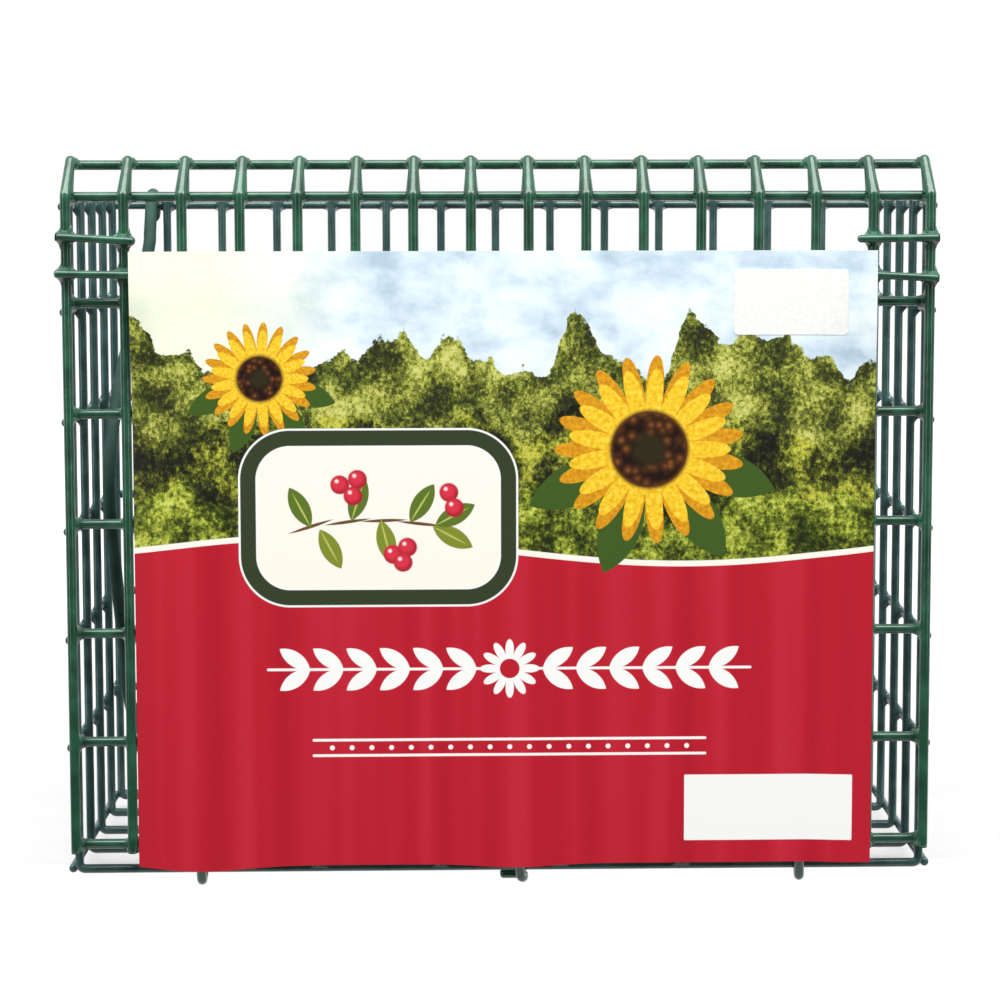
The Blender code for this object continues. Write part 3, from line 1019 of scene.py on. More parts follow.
@dataclass
class Assembly(Placed):
    """Sub-assembly whose pieces share a body and a finish."""

    BODY = Body.BASKET
    SLOT = Slot.COATING

    finish: Material

    def dress(self, piece: Object, *nodes: str, finish: Material | None = None) -> None:
        """Give a piece its finish, its body and the nodes that it stands for.

        Args:
            piece: Piece to dress. It keeps materials that it has.
            nodes: Nodes of the frame that it replaces.
            finish: Its material, where that isn't the assembly's.
        """
        if not piece.data.materials:
            piece.data.materials.append(finish or self.finish)
        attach(piece, self.BODY.value)
        if nodes:
            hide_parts(*nodes)
        LOG.info("%s rides on %s", piece.name, self.BODY.value)

    def spread(self, first: Object, moves: dict[str, Vector]) -> None:
        """Dress a wire and copies of it, each for the node of its own name.

        Args:
            first: Wire to copy.
            moves: Way to each copy, by the copy's name.
        """
        self.dress(first, f"{self.BODY.value}_{first.name}")
        for name, move in moves.items():
            self.dress(copy_piece(first, name, move), f"{self.BODY.value}_{name}")

    def line_up(self, names: list[str], step: Vector,
                draw: Callable[[int, tuple[int, ...]], Object]) -> None:
        """Draw the outer two and the second of a row of wires, and copy that to the others.

        Args:
            names: Names of the wires in order.
            step: Way from one wire to the next.
            draw: Draws the wire of a number with fillets on the given sides.
        """
        model = draw(1, (-1, 1))
        for index, name in enumerate(names):
            if index in (0, len(names) - 1):
                piece = draw(index, (1,) if index == 0 else (-1,))
            else:
                piece = model if index == 1 else copy_piece(model, name, step * (index - 1))
            self.dress(piece, f"{self.BODY.value}_{name}")


@dataclass
class Door(Assembly):
    """Front grille: uprights with a flange, bars, a ridge bar, catch stubs and hinge hooks."""

    BODY = Body.DOOR

    upright_radius: float = 1.14 * MM
    bar_radius: float = 1.09 * MM
    upright_count: int = 16
    upright_pitch: float = 12.7 * MM
    bar_rows: int = 7
    bar_pitch: float = 24.65 * MM
    edge_bar_step: float = 23.45 * MM
    bottom_bar: float = 6.5 * MM
    bar_plane: float = -2.25 * MM
    upright_plane: float = -4.55 * MM
    stub_radius: float = 0.86 * MM
    stub_plane: float = -6.62 * MM
    knee_rise: float = 0.3 * MM
    foot: float = 5.05 * MM
    bar_overrun: float = 1.4 * MM
    flange_rise: float = 8.3 * MM
    flange_reach: float = 7.5 * MM
    flange_overrun: float = 0.1 * MM
    flange_bend_radius: float = 1.4 * MM
    ridge_offset: float = 2.3 * MM
    stub_tip_share: float = 1.7
    fillet: float = 1.4 * MM
    ridge_fillet: float = 1.9 * MM
    stub_fillet: float = 1.9 * MM
    # Each catch stub: reach past its uprights and drop below the top bar, inner end first
    stub_ends: dict[str, tuple[float, float, float, float]] = field(default_factory=lambda: {
        "left_upper": (2.8 * MM, 1.9 * MM, 9.7 * MM, 8.7 * MM),
        "left_lower": (2.8 * MM, 2.3 * MM, 17.1 * MM, 16.8 * MM),
        "right_upper": (3.9 * MM, 1.6 * MM, 9.5 * MM, 9.3 * MM),
        "right_lower": (2.8 * MM, 1.6 * MM, 17.3 * MM, 18.2 * MM),
    })
    # Each hinge hook: upright beside it, its side of that upright, its lean, whether it has a
    # tail to the side
    hooks: dict[str, tuple[int, int, float, bool]] = field(default_factory=lambda: {
        "hook_left": (2, 1, -0.4 * MM, False),
        "hook_middle": (8, -1, 1.3 * MM, True),
        "hook_right": (13, -1, 1.0 * MM, False),
    })
    hook_aside: float = 2.45 * MM

    @property
    def half_width(self) -> float:
        """Half the distance between the outer uprights."""
        return self.upright_pitch * (self.upright_count - 1) / 2

    @property
    def top_bar(self) -> float:
        """Height of the top bar."""
        return self.bar_height(self.bar_rows - 1)

    @property
    def flange_normal(self) -> Vector:
        """Unit vector from the flange's centre lines to the ridge bar."""
        return Vector((0.0, self.flange_rise, -self.flange_reach)).normalized()

    def bar_height(self, row: int) -> float:
        """Return the height of a bar.

        Args:
            row: Number of the bar, counted from the bottom bar.

        Returns:
            Height of its centre line above the hinge line.
        """
        if row == 0:
            return self.bottom_bar
        inner = min(row, self.bar_rows - 2) - 1
        height = self.bottom_bar + self.edge_bar_step + self.bar_pitch * inner
        return height + self.edge_bar_step if row == self.bar_rows - 1 else height

    def upright_x(self, index: int) -> float:
        """Return the place of an upright along the hinge, counted from the left."""
        return self.upright_pitch * index - self.half_width

    def build(self) -> None:
        """Build and dress every wire of the door."""
        names = [f"upright_{index + 1:02d}" for index in range(self.upright_count)]
        self.line_up(names, ACROSS * self.upright_pitch, self._upright)
        self._bars()
        self._stubs()
        for name, (column, side, lean, tail) in self.hooks.items():
            x = self.upright_x(column) + side * self.hook_aside
            self.dress(Hook(self.hinge, name, x, lean, tail).build(), f"door_{name}")

    def _upright(self, index: int, sides: tuple[int, ...]) -> Object:
        """Draw one upright with its flange.

        Args:
            index: Number of the upright, counted from the left.
            sides: Sides on which the coat fills its corners with the bars.

        Returns:
            The upright.
        """
        x = self.upright_x(index)
        flange = Vector((0.0, self.flange_reach, self.flange_rise))
        corner = self.at(x, self.upright_plane, self.top_bar + self.knee_rise)
        tip = corner + flange + flange.normalized() * self.flange_overrun
        welds = [
            Weld(self.at(x, self.upright_plane, self.bar_height(row)), BACK, ACROSS,
                 self.bar_plane - self.upright_plane, self.bar_radius, self.fillet, sides)
            for row in range(self.bar_rows)
        ]
        welds.append(Weld(corner + flange, self.flange_normal, ACROSS, self.ridge_offset,
                          self.bar_radius, self.ridge_fillet, sides))
        return CoatedWire(f"upright_{index + 1:02d}", self.upright_radius,
                          [self.at(x, self.upright_plane, self.foot), corner, tip],
                          self.flange_bend_radius, welds).build()

    def _bars(self) -> None:
        """Draw the bottom bar and copy it to the other bars and the ridge."""
        reach = ACROSS * (self.half_width + self.bar_overrun)
        centre = self.at(0.0, self.bar_plane, self.bottom_bar)
        moves = {f"bar_{row + 1}": UP * (self.bar_height(row) - self.bottom_bar)
                 for row in range(1, self.bar_rows)}
        ridge = self.at(0.0, self.upright_plane + self.flange_reach,
                        self.top_bar + self.knee_rise + self.flange_rise)
        moves["ridge_bar"] = ridge + self.flange_normal * self.ridge_offset - centre
        first = CoatedWire("bar_1", self.bar_radius, [centre - reach, centre + reach]).build()
        self.spread(first, moves)

    def _stubs(self) -> None:
        """Draw the catch stubs with wide fillets where they cross the outer uprights."""
        for name, (inner_reach, outer_reach, inner_drop, outer_drop) in self.stub_ends.items():
            side = -1 if name.startswith("left") else 1
            inner = self.half_width - self.upright_pitch - inner_reach
            outer = self.half_width + outer_reach
            start = self.at(side * inner, self.stub_plane, self.top_bar - inner_drop)
            end = self.at(side * outer, self.stub_plane, self.top_bar - outer_drop)
            along = (end - start).normalized()
            rise = along.cross(BACK) * -side
            welds = [
                Weld(start + along * (x - inner), BACK, rise,
                     self.upright_plane - self.stub_plane, self.upright_radius, self.stub_fillet)
                for x in (self.half_width - self.upright_pitch, self.half_width)
            ]
            stub = CoatedWire(f"stub_{name}", self.stub_radius, [start, end], welds=welds,
                              tip_share=self.stub_tip_share).build()
            self.dress(stub, f"door_stub_{name}")


@dataclass
class Hook(Placed):
    """Wire beside an upright that goes round the basket's front rim bar."""

    name: str
    x: float
    lean: float
    tail: bool
    radius: float = 1.14 * MM
    bend_radius: float = 2.585 * MM
    # Share of a bend's radius that fits between two corners of its arc
    bend_share: float = 0.96
    plane: float = -4.55 * MM
    top: float = 10.1 * MM
    shoulder: float = 3.6 * MM
    return_height: float = 2.2 * MM
    # Angle round the rim bar at which the tail leaves it, and the angle of a hook without one
    tail_start: float = 280.0
    full_turn: float = 360.0
    tail_lead: float = 1.2 * MM
    tail_length: float = 5.3 * MM
    tail_bend_radius: float = 1.1 * MM

    def build(self) -> Object:
        """Draw the hook from its top, round the rim bar, to its free end.

        Returns:
            The hook.
        """
        away = math.hypot(self.plane, self.shoulder)
        straight = math.degrees(math.atan2(self.shoulder, self.plane))
        touch = straight + math.degrees(math.acos(self.bend_radius / away))
        finish = self.tail_start if self.tail else self.full_turn
        front, rear = arc_corners((0.0, 0.0), self.bend_radius, touch, finish - touch, 2)
        low_x = self.x + self.lean
        route = [
            self.at(self.x, self.plane, self.top),
            self.at(self.x, self.plane, self.shoulder),
            self.at(self.x + self.lean / 2, *front),
            self.at(low_x, *rear),
        ]
        radii = [self.bend_share * self.bend_radius] * 3
        if self.tail:
            angle = math.radians(self.tail_start)
            y = self.bend_radius * math.cos(angle) - math.sin(angle) * self.tail_lead
            z = self.bend_radius * math.sin(angle) + math.cos(angle) * self.tail_lead
            route += [self.at(low_x, y, z), self.at(low_x - self.tail_length, y, z)]
            radii.append(self.tail_bend_radius)
        else:
            route.append(self.at(low_x, self.bend_radius, self.return_height))
        return CoatedWire(self.name, self.radius, route, radii).build()


@dataclass
class Basket(Assembly):
    """Open-topped cage of loops, hoops and back wires."""

    bar_heights: tuple[float, ...]
    radius: float = 0.99 * MM
    leg_x: float = 95.45 * MM
    loop_count: int = 5
    loop_pitch: float = 13.75 * MM
    loop_bend_radius: float = 1.3 * MM
    hoop_drop: float = 2.2 * MM
    front: float = -0.2 * MM
    top_overrun: float = 1.4 * MM
    step: float = 1.9 * MM
    side_step: float = 1.5 * MM
    back_wire_count: int = 15
    floor_columns: tuple[int, ...] = (4, 6, 8, 10)
    floor_bend_radius: float = 3.0 * MM
    floor_front: float = -1.1 * MM
    foot: float = 1.15 * MM
    fillet: float = 1.3 * MM

    @property
    def back_plane(self) -> float:
        """Plane of the back wires behind the hinge."""
        return self.loop_pitch * (self.loop_count - 1)

    @property
    def hoop_heights(self) -> list[float]:
        """Heights of the hoops: the floor, then a little below each bar of the door."""
        return [0.0] + [height - self.hoop_drop for height in self.bar_heights[1:]]

    @property
    def top(self) -> float:
        """Height of the upright wires' tips."""
        return self.hoop_heights[-1] + self.top_overrun

    def build(self) -> None:
        """Build and dress every wire of the basket."""
        names = [f"loop_{index + 1}" for index in range(self.loop_count)]
        self.line_up(names, BACK * self.loop_pitch, self._loop)
        self._hoops()
        self._back_wires()

    def _loop(self, index: int, sides: tuple[int, ...]) -> Object:
        """Draw one loop.

        Args:
            index: Number of the loop, counted from the front.
            sides: Sides on which the coat fills its corners with the hoops.

        Returns:
            The loop.
        """
        y = self.loop_pitch * index
        route = [
            self.at(side * self.leg_x, y, z)
            for side, z in ((-1, self.top), (-1, 0.0), (1, 0.0), (1, self.top))
        ]
        welds = [
            Weld(self.at(side * self.leg_x, y, z), ACROSS * side, BACK, self.side_step,
                 self.radius, self.fillet, sides)
            for z in self.hoop_heights[1:]
            for side in (-1, 1)
        ]
        return CoatedWire(f"loop_{index + 1}", self.radius, route, self.loop_bend_radius,
                          welds).build()

    def _hoops(self) -> None:
        """Draw the lowest hoop and copy it upwards."""
        hoop_x = self.leg_x + self.side_step
        hoop_back = self.back_plane + self.step
        route = [
            self.at(x, y, 0.0)
            for x, y in ((-hoop_x, self.front), (-hoop_x, hoop_back), (hoop_x, hoop_back),
                         (hoop_x, self.front))
        ]
        first = CoatedWire("hoop_1", self.radius, route, self.step).build()
        self.spread(first, {f"hoop_{index + 1}": UP * height
                            for index, height in enumerate(self.hoop_heights) if index})

    def _back_wire(self, name: str, x: float, on_floor: bool) -> Object:
        """Draw one back wire.

        Args:
            name: Name of the piece.
            x: Place along the hinge.
            on_floor: Whether it bends forward and ties the floor to the rim bar.

        Returns:
            The back wire.
        """
        welds = [
            Weld(self.at(x, self.back_plane, height), BACK, ACROSS, self.step, self.radius,
                 self.fillet)
            for height in self.hoop_heights[1:]
        ]
        route = [self.at(x, self.back_plane, self.top)]
        if on_floor:
            route += [self.at(x, self.back_plane, self.step),
                      self.at(x, self.floor_front, self.step)]
            welds += [
                Weld(self.at(x, self.loop_pitch * index, self.step), -UP, ACROSS, self.step,
                     self.radius, self.fillet)
                for index in range(self.loop_count - 1)
            ]
        else:
            route.append(self.at(x, self.back_plane, self.foot))
        return CoatedWire(name, self.radius, route, self.floor_bend_radius, welds).build()

    def _back_wires(self) -> None:
        """Draw a plain back wire and one with a floor run, and copy them sideways."""
        pitch = 2 * self.leg_x / (self.back_wire_count - 1)
        models: dict[bool, tuple[Object, float]] = {}
        for column in range(1, self.back_wire_count - 1):
            x = pitch * column - self.leg_x
            on_floor = column in self.floor_columns
            name = f"back_wire_{column:02d}"
            if on_floor in models:
                source, source_x = models[on_floor]
                piece = copy_piece(source, name, ACROSS * (x - source_x))
            else:
                piece = self._back_wire(name, x, on_floor)
                models[on_floor] = (piece, x)
            self.dress(piece, f"basket_{name}")


@dataclass
class Hanger(Assembly):
    """Sheathed cable: its turn round the back top bar, its run and its eye."""

    SLOT = Slot.SHEATH
    # Pressed sleeve: place along it as a share of its length, and share of its half width
    SLEEVE = ((-0.5, 0.86), (-0.47, 0.97), (-0.42, 1.0), (-0.32, 1.0), (-0.27, 0.9),
              (-0.21, 1.0), (-0.05, 1.0), (0.0, 0.9), (0.05, 1.0), (0.21, 1.0),
              (0.27, 0.9), (0.32, 1.0), (0.42, 1.0), (0.47, 0.97), (0.5, 0.86))
    SLEEVE_SIDES = 28
    # Angle over which the eye's loop is round, either side of its far end
    EYE_HALF_SWEEP = 112.0
    # Share of a bend's radius that fits between two corners of its arc
    EYE_BEND_SHARE = 0.95
    TURN_BEND_SHARE = 0.97

    radius: float = 1.52 * MM
    bar: Point = (-85.55 * MM, 57.05 * MM, 149.8 * MM)
    turn_radius: float = 2.72 * MM
    turn_set_in: float = 5.6 * MM
    turn_drop: float = 6.4 * MM
    turn_tail: float = 1.2 * MM
    joint_gap: float = 0.3 * MM
    lead_in: float = 3.0 * MM
    point_count: int = 78
    sleeve_length: float = 9.0 * MM
    sleeve_half_width: float = 3.5 * MM
    sleeve_half_height: float = 1.9 * MM
    eye_length: float = 13.0 * MM
    eye_radius: float = 4.15 * MM
    strand_aside: float = 1.7 * MM
    # Points of the cable's route in millimetres from the hinge line
    route: tuple[Point, ...] = (
        (-86.4, 48.2, 135.0), (-88.6, 42.5, 121.5), (-90.6, 32.0, 106.0), (-91.5, 23.0, 87.0),
        (-91.5, 28.0, 67.0), (-91.3, 36.5, 46.0), (-90.6, 43.0, 26.0), (-86.6, 48.0, 11.5),
        (-76.0, 50.0, 5.6), (-58.0, 50.4, 4.75), (-36.0, 50.5, 4.75), (-10.0, 50.5, 4.75),
        (18.0, 50.0, 4.75), (38.5, 48.0, 4.75), (48.0, 46.9, 3.6), (54.0, 46.5, 2.9),
        (59.0, 46.4, 2.8),
    )

    def _turn_start(self) -> tuple[Vector, float]:
        """Find where the turn leaves its straight lead.

        Returns:
            The turn's lower end and the angle at which it meets its arc, in degrees.
        """
        x, y, z = self.bar
        span = math.hypot(self.turn_set_in, self.turn_drop)
        rise = math.atan2(self.turn_drop, self.turn_set_in) + math.asin(self.turn_radius / span)
        start = self.at(x, y - self.turn_set_in, z - self.turn_drop)
        return start, math.degrees(rise) + 90.0

    def centre_line(self) -> list[Vector]:
        """Lay the cable's centre line on one smooth curve.

        Returns:
            Points from its turn to its eye.
        """
        turn_start, angle = self._turn_start()
        arm = Vector((0.0, math.cos(math.radians(angle)), math.sin(math.radians(angle))))
        over = self.at(*self.bar) + arm * self.turn_radius
        down = (turn_start - over).normalized()
        start = turn_start + down * self.joint_gap
        points = [start, start + down * self.lead_in]
        points += [self.at(*(Vector(point) * MM)) for point in self.route]
        padded = [points[0] * 2 - points[1]] + points + [points[-1] * 2 - points[-2]]
        spans = len(points) - 1
        line = []
        for index in range(self.point_count):
            place = spans * index / (self.point_count - 1)
            first = min(int(place), spans - 1)
            share = place - first
            before, near, far, after = padded[first:first + 4]
            eased = share ** 2 * (3 - 2 * share)
            pull_out = (far - before) / 2 * share * (1 - share) ** 2
            pull_in = (after - near) / 2 * share ** 2 * (1 - share)
            line.append(near + (far - near) * eased + pull_out - pull_in)
        return line

    def _turn(self, line: list[Vector]) -> Object:
        """Draw the cable's end, which goes over, behind and under the top bar.

        Args:
            line: Points of the cable's centre line.

        Returns:
            The turn.
        """
        x, y, z = self.bar
        _, angle = self._turn_start()
        corners = arc_corners((y, z), self.turn_radius, angle, -angle - 90.0, 3)
        route = [line[0]] + [self.at(x, *corner) for corner in corners]
        route.append(self.at(x, y - self.turn_tail, z - self.turn_radius))
        return CoatedWire("hanger_turn_end", self.radius, route,
                          self.TURN_BEND_SHARE * self.turn_radius, tips=(False, True)).build()

    def _sleeve(self, near: Vector, along: Vector, aside: Vector) -> Object:
        """Draw the sleeve, pressed flat and waisted by the tool.

        Args:
            near: Middle of its near end.
            along: Unit vector along it.
            aside: Unit vector across it.

        Returns:
            The sleeve.
        """
        bpy.ops.object.select_all(action='DESELECT')
        bpy.ops.mesh.primitive_cylinder_add(vertices=self.SLEEVE_SIDES, radius=1.0, depth=1.0)
        sleeve = bpy.context.object
        bpy.ops.object.mode_set(mode='EDIT')
        for place, _ in self.SLEEVE[1:-1]:
            bpy.ops.mesh.select_all(action='SELECT')
            bpy.ops.mesh.bisect(plane_co=(0.0, 0.0, place), plane_no=UP)
        bpy.ops.object.mode_set(mode='OBJECT')
        far = near + along * self.sleeve_length
        middle = (near + far) / 2
        for vertex in sleeve.data.vertices:
            _, width = min(self.SLEEVE, key=lambda row: abs(row[0] - vertex.co.z))
            vertex.co = (middle + along * (vertex.co.z * self.sleeve_length)
                         + aside * (vertex.co.x * width * self.sleeve_half_width)
                         + UP * (vertex.co.y * width * self.sleeve_half_height))
        bpy.ops.object.mode_set(mode='EDIT')
        close_up(WIRE_SMOOTHING)
        return sleeve

    def _eye(self, line: list[Vector]) -> Object:
        """Draw the pressed sleeve and the loop that ends the cable.

        Args:
            line: Points of the cable's centre line.

        Returns:
            Sleeve and loop as one piece.
        """
        along = line[-1] - line[-2]
        along.z = 0.0
        along.normalize()
        aside = UP.cross(along).normalized()
        near = line[-1] + along * self.joint_gap
        far = near + along * self.sleeve_length
        middle = self.eye_length - self.radius - self.eye_radius
        strand = [(-self.sleeve_length / 2, self.strand_aside), (0.0, self.strand_aside)]
        flat = [(reach, -side) for reach, side in strand]
        flat += arc_corners((middle, 0.0), self.eye_radius, -self.EYE_HALF_SWEEP,
                            2 * self.EYE_HALF_SWEEP, 3)
        flat += reversed(strand)
        loop = CoatedWire(
            "hanger_eye_end", self.radius,
            [far + along * reach + aside * side for reach, side in flat],
            self.EYE_BEND_SHARE * self.eye_radius, tips=(False, False)).build()
        self._sleeve(near, along, aside).select_set(True)
        loop.select_set(True)
        bpy.context.view_layer.objects.active = loop
        bpy.ops.object.join()
        return loop

    def build(self) -> None:
        """Lay the cable as a free cord between its turn and its eye."""
        line = self.centre_line()
        self.dress(self._turn(line), "hanger_turn")
        eye = self._eye(line)
        self.dress(eye, "hanger_eye")
        curve = bpy.data.curves.new("hanger_run", type='CURVE')
        curve.dimensions = '3D'
        curve.bevel_depth = self.radius
        curve.bevel_resolution = 6
        curve.use_fill_caps = True
        spline = curve.splines.new('POLY')
        spline.points.add(len(line) - 1)
        for knot, point in zip(spline.points, line):
            knot.co = (*point, 1.0)
        run = add_object("hanger_run", curve)
        self.dress(run, "hanger_cable")


@dataclass
class Card(Assembly):
    """Printed card on the door: its left edge curls back and its corners lie over the stubs."""

    BODY = Body.DOOR
    SLOT = Slot.CARD

    board_back: Material
    label_paper: Material
    left: float = -81.1 * MM
    right: float = 82.9 * MM
    foot: float = 2.5 * MM
    top: float = 140.0 * MM
    back_plane: float = -5.76 * MM
    thickness: float = 0.42 * MM
    columns: int = 164
    rows: int = 116
    curl_start: float = -70.5 * MM
    curl_depth: float = 0.85 * MM
    stub_lift: float = 1.85 * MM
    left_lift_start: float = -71.5 * MM
    left_lift_end: float = -79.2 * MM
    right_lift_start: float = 67.0 * MM
    right_lift_end: float = 79.2 * MM
    corner_low: float = 100.0 * MM
    corner_high: float = 133.0 * MM
    right_foot_share: float = 0.42
    ripple: float = 0.055 * MM
    # Lengths of the ripple's upright wave and of its slower, leaning one
    wave: float = 25.4 * MM
    wave_phase: float = 0.6
    slow_wave: float = 41.0 * MM
    slow_wave_lean: float = 60.0 * MM
    # Place, width and depth of each sag of the lower edge
    sags: tuple[tuple[float, float, float], ...] = (
        (-66.5 * MM, 13.0 * MM, 1.3 * MM), (3.5 * MM, 11.0 * MM, 0.85 * MM))
    sag_height: float = 9.0 * MM
    label_box: Box = (51.6 * MM, 121.4 * MM, 76.6 * MM, 135.8 * MM)
    label_grid: tuple[int, int] = (25, 14)
    label_corner: float = 0.9 * MM
    # Height of the label's face over the card's, and of the gap under its back
    label_thickness: float = 0.07 * MM
    label_gap: float = 0.01 * MM
    # Faces whose normal's y lies below this face forward and carry the print
    printed_normal: float = -0.5

    @staticmethod
    def _ease(value: float, start: float, end: float) -> float:
        """Return a share that goes smoothly from 0 at start to 1 at end."""
        share = min(1.0, max(0.0, (value - start) / (end - start)))
        return share ** 2 * (3 - 2 * share)

    def _face(self, x: float, z: float) -> float:
        """Find the card's front face at a place on it.

        Args:
            x: Place along the hinge.
            z: Height above the hinge line.

        Returns:
            Its plane, counted backwards from the hinge line.
        """
        corner = self._ease(z, self.corner_low, self.corner_high)
        left_lift = corner * self._ease(x, self.left_lift_start, self.left_lift_end)
        low = self.right_foot_share + (1 - self.right_foot_share) * corner
        right_lift = low * self._ease(x, self.right_lift_start, self.right_lift_end)
        curl = min(1.0, max(0.0, (x - self.curl_start) / (self.left - self.curl_start))) ** 2
        waves = (2 + math.sin(2 * math.pi * x / self.wave + self.wave_phase)
                 + math.sin(2 * math.pi * x / self.slow_wave + z / self.slow_wave_lean)) / 4
        forward = self.stub_lift * max(left_lift, right_lift) + self.ripple * waves
        forward -= self.curl_depth * curl * (1 - left_lift)
        return self.back_plane - self.thickness - forward

    def _sheet(self, name: str, box: Box, grid: tuple[int, int]) -> Object:
        """Add a grid that stands upright in the door's plane.

        Args:
            name: Name of the piece.
            box: Left, lower, right and upper edge.
            grid: Number of cells across and up.

        Returns:
            The grid, flat and facing forward.
        """
        bpy.ops.object.select_all(action='DESELECT')
        bpy.ops.mesh.primitive_grid_add(x_subdivisions=grid[0], y_subdivisions=grid[1], size=1.0)
        piece = name_active(name)
        left, low, right, high = box
        for vertex in piece.data.vertices:
            vertex.co = Vector((left + (vertex.co.x + 0.5) * (right - left), 0.0,
                                low + (vertex.co.y + 0.5) * (high - low)))
        return piece

    def _thicken(self, piece: Object, thickness: float) -> None:
        """Give a sheet its thickness towards the back.

        Args:
            piece: Sheet whose face is in place.
            thickness: Its thickness.
        """
        solid = piece.modifiers.new("board", 'SOLIDIFY')
        solid.thickness = thickness
        solid.offset = -1.0
        bpy.context.view_layer.objects.active = piece
        bpy.ops.object.modifier_apply(modifier=solid.name)
        bpy.ops.object.shade_smooth_by_angle(angle=SHEET_SMOOTHING)

    def build(self) -> None:
        """Lay the card on the door and stick the blank label on it."""
        card = self._sheet("printed_card", (self.left, self.foot, self.right, self.top),
                           (self.columns, self.rows))
        for vertex in card.data.vertices:
            x, z = vertex.co.x, vertex.co.z
            low = 1 - self._ease(z, self.foot, self.foot + self.sag_height)
            drop = sum(depth * math.exp(-((x - place) / width) ** 2)
                       for place, width, depth in self.sags)
            vertex.co = self.at(x, self._face(x, z), z - low * drop)
        self._thicken(card, self.thickness)
        card.data.materials.append(self.finish)
        card.data.materials.append(self.board_back)
        for polygon in card.data.polygons:
            polygon.material_index = 0 if polygon.normal.y < self.printed_normal else 1
        self.dress(card, "door_card")
        self.dress(self._label(), finish=self.label_paper)

    def _label(self) -> Object:
        """Draw the blank label with its round corners, on the card's face.

        Returns:
            The label.
        """
        label = self._sheet("blank_label", self.label_box, self.label_grid)
        bpy.ops.object.mode_set(mode='EDIT')
        bpy.ops.mesh.select_mode(type='VERT')
        bpy.ops.mesh.select_all(action='DESELECT')
        mesh = bmesh.from_edit_mesh(label.data)
        for vertex in mesh.verts:
            vertex.select = len(vertex.link_edges) == 2
        mesh.select_flush_mode()
        bmesh.update_edit_mesh(label.data)
        bpy.ops.mesh.bevel(offset=self.label_corner, segments=4, affect='VERTICES')
        bpy.ops.object.mode_set(mode='OBJECT')
        for vertex in label.data.vertices:
            x, z = vertex.co.x, vertex.co.z
            vertex.co = self.at(x, self._face(x, z) - self.label_thickness, z)
        self._thicken(label, self.label_thickness - self.label_gap)
        return label


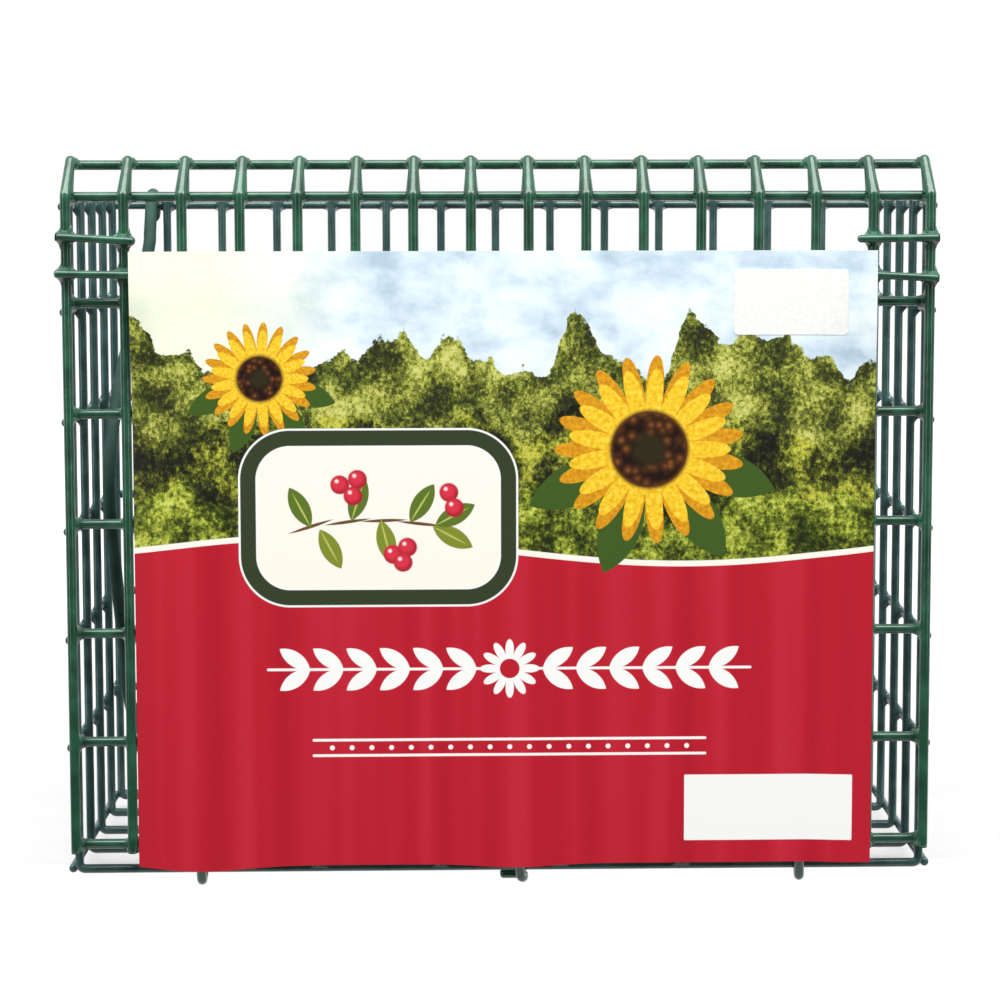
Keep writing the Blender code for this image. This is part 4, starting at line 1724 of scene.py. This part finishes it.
@dataclass
class Studio(Placed):
    """Camera of the photograph, soft light, a dark flag behind the camera and pale paper."""

    camera_place: Point = (-8.02 * MM, -442.02 * MM, 152.26 * MM)
    pitch: float = math.radians(4.18)
    yaw: float = math.radians(1.05)
    roll: float = math.radians(-0.10)
    lens: float = 71.46
    shift: float = -0.16
    clip_start: float = 0.01
    # Each lamp: place, width and height in metres, and power in watts
    lamps: dict[str, tuple[Point, float, float, float]] = field(default_factory=lambda: {
        "top_softbox": ((0.0, -0.3, 0.92), 3.2, 0.55, 44.0),
        "left_softbox": ((-0.62, -0.6, 0.25), 0.07, 0.8, 1.4),
        "right_softbox": ((0.62, -0.6, 0.25), 0.07, 0.8, 1.4),
    })
    lamp_aim: Point = (0.0, 0.0, 0.08)
    # Strength of the world for rays that light the object
    world_light: float = 0.25
    # The flag in metres: half its width, its planes behind the camera and at its wings' ends,
    # its middle's height and its own height
    flag_half_width: float = 1.2
    flag_behind: float = -0.75
    flag_wing_end: float = 0.1
    flag_middle: float = 0.2
    flag_height: float = 1.5
    paper_front: float = 14.0 * MM
    paper_drop: float = 0.02 * MM
    paper_width: float = 6.0
    paper_back: float = 4.0

    def build(self) -> None:
        """Add the camera, the lamps, the world, the flag and the paper."""
        scene = bpy.context.scene
        scene.view_settings.view_transform = 'Standard'
        camera = add_object("camera", bpy.data.cameras.new("camera"))
        camera.location = self.at(*self.camera_place)
        aim = Euler((math.pi / 2 - self.pitch, 0.0, -self.yaw)).to_matrix()
        camera.rotation_euler = (aim @ Matrix.Rotation(self.roll, 3, 'Z')).to_euler()
        camera.data.lens = self.lens
        camera.data.shift_y = self.shift
        camera.data.clip_start = self.clip_start
        scene.camera = camera
        self._lamps()
        self._world()
        self._flag()
        self._paper()

    def _lamps(self) -> None:
        """Hang the softboxes, each turned to the feeder."""
        for name, (place, width, height, power) in self.lamps.items():
            lamp = bpy.data.lights.new(name, type='AREA')
            lamp.shape = 'RECTANGLE'
            lamp.size = width
            lamp.size_y = height
            lamp.energy = power
            item = add_object(name, lamp)
            item.location = place
            way = Vector(self.lamp_aim) - item.location
            item.rotation_euler = way.to_track_quat('-Z', 'Y').to_euler()

    def _world(self) -> None:
        """White surroundings for the camera and for reflections, soft light for the rest."""
        world = bpy.data.worlds.new("studio_tent")
        world.use_nodes = True
        tree = world.node_tree
        strength = add_node(tree, "MapRange", {
            "Value": pale_rays(tree), "To Min": self.world_light, "To Max": 1.0})
        set_inputs(tree.nodes["Background"], {
            "Color": (1.0, 1.0, 1.0, 1.0), "Strength": strength})
        bpy.context.scene.world = world

    def _flag(self) -> None:
        """Hang a dark cloth behind and beside the camera; only reflections see it."""
        bpy.ops.object.select_all(action='DESELECT')
        bpy.ops.mesh.primitive_grid_add(x_subdivisions=3, y_subdivisions=1, size=1.0)
        flag = name_active("dark_flag")
        inner_column = 0.4
        for vertex in flag.data.vertices:
            on_wing = abs(vertex.co.x) > inner_column
            vertex.co = Vector((math.copysign(self.flag_half_width, vertex.co.x),
                                self.flag_wing_end if on_wing else self.flag_behind,
                                self.flag_middle + vertex.co.y * self.flag_height))
        cloth, _, shader = new_material("black_flag_cloth")
        set_inputs(shader, {"Base Color": srgb("1c1c1c"), "Roughness": 1.0})
        flag.data.materials.append(cloth)
        flag.visible_camera = False
        flag.visible_diffuse = False
        flag.visible_transmission = False
        flag.visible_shadow = False

    def _paper(self) -> None:
        """Lay the paper under the basket; it ends under the door, which can hang past it."""
        bpy.ops.object.select_all(action='DESELECT')
        bpy.ops.mesh.primitive_plane_add(size=1.0)
        paper = name_active("seamless_paper")
        front = self.hinge.y + self.paper_front
        for vertex in paper.data.vertices:
            vertex.co.x *= self.paper_width
            vertex.co.y = front if vertex.co.y < 0 else self.paper_back
            vertex.co.z = -self.paper_drop
        paper.data.materials.append(StudioPaper().material())


def main() -> None:
    """Build the feeder and the studio round the frame."""
    logging.basicConfig(level=logging.INFO, format="%(name)s: %(message)s")
    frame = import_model()
    hinge = Vector(frame["joints"][0]["pos_m"])
    Studio(hinge).build()
    sheath = DipCoat("satin_pvc_sheath", thin="25463d", full="203f37", deep="1b3831",
                     roughness=0.6, specular=0.25)
    Hanger(hinge, sheath.material()).build()
    door = Door(hinge, DipCoat("dip_coated_pvc_door").material())
    door.build()
    # The basket's wires wear the door's PVC coat painted darker and greyer: painted shade for the
    # lower light inside the basket.
    coat = DipCoat("dip_coated_pvc_basket_painted_shade", thin="3e5a58", full="334e4c", deep="28403f")
    bars = tuple(door.bar_height(row) for row in range(door.bar_rows))
    Basket(hinge, coat.material(), bars).build()
    board_back = PlainPaper("uncoated_board_back", bright="dedbd3", dull="cfccc3")
    label_paper = PlainPaper("self_adhesive_label_paper", bright="ececea", dull="e3e3e0")
    Card(hinge, Paperboard(hinge).material(), board_back.material(),
         label_paper.material()).build()


if __name__ == "__main__":
    main()
